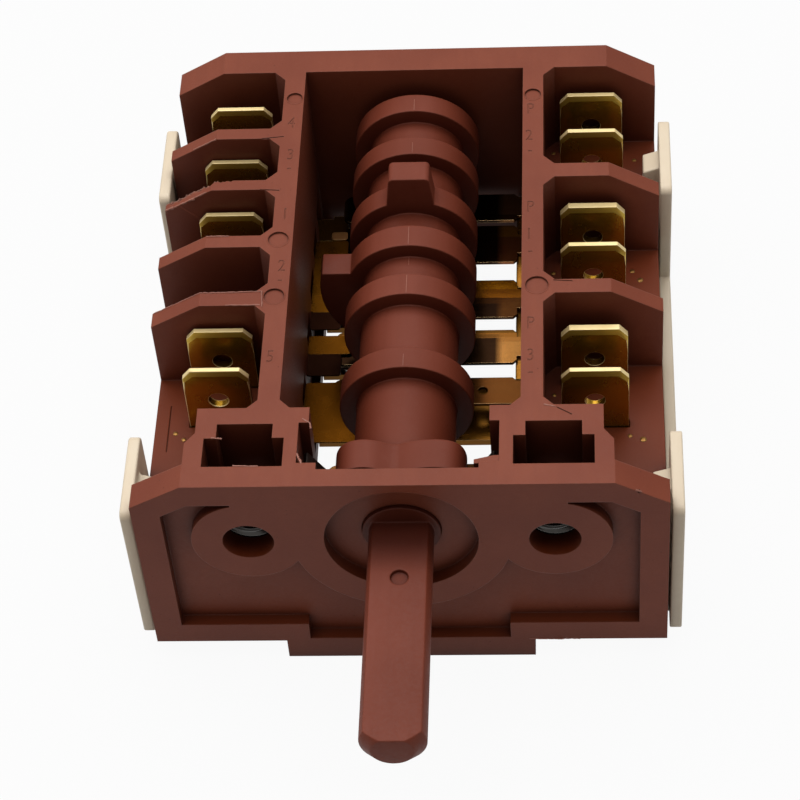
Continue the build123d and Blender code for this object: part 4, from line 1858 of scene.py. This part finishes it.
@dataclass
class RotorSeam:
    """The faint parting line along the top of the camshaft, in the pale flash finish that also paints its
    highlight.
    """

    width: float = 0.1
    crest_share: float = 0.4
    rise: float = 0.02
    end_share: float = 0.3
    run_in: float = 0.3
    root: float = 0.04
    spans: tuple[tuple[float, float, float], ...] = (
        (15.6, 17.0, 6.35),
        (18.1, 18.9, 4.75),
        (24.8, 27.0, 6.35),
        (29.8, 30.8, 4.75),
        (31.1, 33.4, 6.35),
        (43.6, 45.0, 6.35),
        (49.7, 51.2, 6.35),
    )

    def build(self) -> None:
        """Lays a low rounded ridge on some steps of the camshaft."""
        build = bmesh.new()
        half = self.width / 2
        crest = half * self.crest_share
        for front, rear, radius in self.spans:
            stations = (
                (front, self.end_share),
                (front + self.run_in, 1.0),
                (rear - self.run_in, 1.0),
                (rear, self.end_share),
            )
            rows = []
            for y, share in stations:
                low = radius - self.root
                top = radius + self.rise * share
                profile = ((-half, low), (-crest, top), (crest, top), (half, low))
                rows.append([build.verts.new(in_metres((x, y, z))) for x, z in profile])
            bridge(build, rows)
            cap_ends(build, rows)
        bmesh.ops.recalc_face_normals(build, faces=build.faces)
        mesh = mesh_of("rotor_parting_line", build)
        crease(mesh, 80)
        dress("rotor_parting_line", mesh, FLASH_PHENOLIC, Body.ROTOR)


class NodeDressing:
    """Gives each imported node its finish, also where a piece stands for it."""

    def build(self, nodes: Nodes) -> None:
        """Assigns the finishes by the start of each node's name."""
        for name, node in sorted(nodes.items()):
            finish = next(f for start, f in NODE_FINISHES.items() if name.startswith(start))
            node.data.materials.clear()
            node.data.materials.append(RACK.get(finish))
            LOG.info("%s: %s", name, finish.name)


@dataclass
class PhotoCamera:
    """The camera at the photograph's view."""

    azimuth: float = 5.92
    elevation: float = 49.62
    roll: float = -5.23
    place: Point = (16.80, -151.83, 199.27)
    focal_px: float = 2756.5
    frame_px: float = 800.0
    sensor: float = 36.0

    def build(self) -> None:
        """Adds the camera and makes it the scene's own."""
        azimuth = math.radians(self.azimuth)
        elevation = math.radians(self.elevation)
        roll = math.radians(self.roll)
        flat = math.cos(elevation)
        back = Vector((math.sin(azimuth) * flat, -math.cos(azimuth) * flat, math.sin(elevation)))
        level = (-back).cross(Vector((0, 0, 1))).normalized()
        rise = level.cross(-back)
        right = level * math.cos(roll) + rise * math.sin(roll)
        up = rise * math.cos(roll) - level * math.sin(roll)
        lens = bpy.data.cameras.new("photo_camera")
        lens.sensor_width = self.sensor
        lens.lens = self.focal_px / self.frame_px * self.sensor
        lens.clip_start = 0.01
        lens.clip_end = 20.0
        camera = link("photo_camera", lens)
        turn = Matrix((right, up, back)).transposed().to_4x4()
        camera.matrix_world = Matrix.Translation(Vector(self.place) * MM) @ turn
        bpy.context.scene.camera = camera


@dataclass(frozen=True)
class Softbox:
    """A square soft lamp, with its place, size and power in metres and watts."""

    name: str
    place: Point
    size: float
    power: float

    def build(self, aim: Point) -> None:
        """Hangs the lamp so that it faces a point."""
        lamp = bpy.data.lights.new(self.name, "AREA")
        lamp.size = self.size
        lamp.energy = self.power
        holder = link(self.name, lamp)
        holder.location = self.place
        direction = Vector(aim) - Vector(self.place)
        holder.rotation_euler = direction.to_track_quat("-Z", "Y").to_euler()


@dataclass
class Studio:
    """Pale floor, soft lamps and a white world.

    The floor's size, the lamps and the point they face are in metres.
    """

    floor_size: float = 3.0
    floor_gap: float = 0.02
    front_rest: Point = (0.0, 0.0, -18.2)
    back_rest: Point = (0.0, 56.8, -15.6)
    floor_grey: float = 0.5
    floor_glow: float = 0.94
    floor_mirror: float = 0.6
    ambient: float = 0.22
    mirror: float = 0.5
    aim: Point = (0.0, 0.025, 0.0)
    lamps: tuple[Softbox, ...] = (
        Softbox("top_softbox", (-0.02, 0.12, 0.55), 0.7, 4.5),
        Softbox("left_softbox", (-0.5, 0.1, 0.3), 0.25, 0.45),
    )

    def glow(self, bench: Bench, seen_share: float, mirror_share: float) -> Socket:
        """Works out how much white a ray meets, by its kind.

        Args:
            bench: the bench of the floor or the world.
            seen_share: the share for rays of the camera and through the part.
            mirror_share: the share for reflections.

        Returns:
            The socket of the share.
        """
        path = bench.add("ShaderNodeLightPath").outputs
        seen = bench.math("MAXIMUM", path["Is Camera Ray"], path["Is Transmission Ray"])
        glossy = bench.math("MULTIPLY", path["Is Glossy Ray"], mirror_share)
        return bench.math("MAXIMUM", bench.math("MULTIPLY", seen, seen_share), glossy)

    def floor_material(self) -> Material:
        """Builds the floor's material, white to the camera and in reflections."""
        material = bpy.data.materials.new("studio_floor")
        bench = bench_of(material)
        grey = self.floor_grey
        matt = bench.add("ShaderNodeBsdfDiffuse", {"Color": (grey, grey, grey, 1.0)})
        light = bench.add("ShaderNodeEmission", {"Color": (*EVEN, 1.0), "Strength": 1.0})
        share = self.glow(bench, self.floor_glow, self.floor_mirror)
        shaders = {0: share, 1: matt.outputs["BSDF"], 2: light.outputs["Emission"]}
        blend = bench.add("ShaderNodeMixShader", shaders)
        bench.add("ShaderNodeOutputMaterial", {"Surface": blend.outputs["Shader"]})
        return material

    def build_floor(self) -> None:
        """Lays the floor under the front tongue and the back plate."""
        slope = (self.back_rest[2] - self.front_rest[2]) / (self.back_rest[1] - self.front_rest[1])
        half = self.floor_size / 2
        build = bmesh.new()
        corners = []
        for x, y in ((-half, -half), (half, -half), (half, half), (-half, half)):
            z = self.front_rest[2] * MM + slope * y - self.floor_gap * MM
            corners.append(build.verts.new((x, y, z)))
        build.faces.new(corners)
        mesh = mesh_of("studio_floor", build)
        mesh.materials.append(self.floor_material())
        link("studio_floor", mesh)

    def build_world(self) -> None:
        """Sets a white world that lights softly and shows white in reflections."""
        world = bpy.data.worlds.new("studio_world")
        bench = bench_of(world)
        strength = bench.math("MAXIMUM", self.glow(bench, 1.0, self.mirror), self.ambient)
        values = {"Color": (*EVEN, 1.0), "Strength": strength}
        light = bench.add("ShaderNodeBackground", values)
        bench.add("ShaderNodeOutputWorld", {"Surface": light.outputs["Background"]})
        bpy.context.scene.world = world

    def build(self) -> None:
        """Sets the floor, the world, the lamps and the view's colours."""
        self.build_floor()
        self.build_world()
        for lamp in self.lamps:
            lamp.build(self.aim)
        bpy.context.scene.view_settings.view_transform = "Standard"


def main() -> None:
    """Builds the switch's looks in order and finishes the scene."""
    logging.basicConfig(level=logging.INFO, format="%(name)s: %(message)s")
    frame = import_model()
    nodes = frame["nodes"]
    PhotoCamera().build()
    NodeDressing().build(nodes)
    HousingMoulding(MouldMarks(), BrokenEdges(), FrontWebs()).build(nodes["housing"])
    Rotor().build(nodes["camshaft"])
    TabTerminals().build(nodes)
    SideCovers().build(nodes)
    ContactRails().build()
    ContactLands().build()
    DetentSprings().build(nodes)
    PanelNuts().build()
    RotorSeam().build()
    StakeMarks().build()
    for flash in (HOUSING_EDGE_FLASH, HOUSING_CORNER_FLASH, ROTOR_FLASH_HIGHLIGHT):
        flash.build()
    Studio().build()


if __name__ == "__main__":
    main()
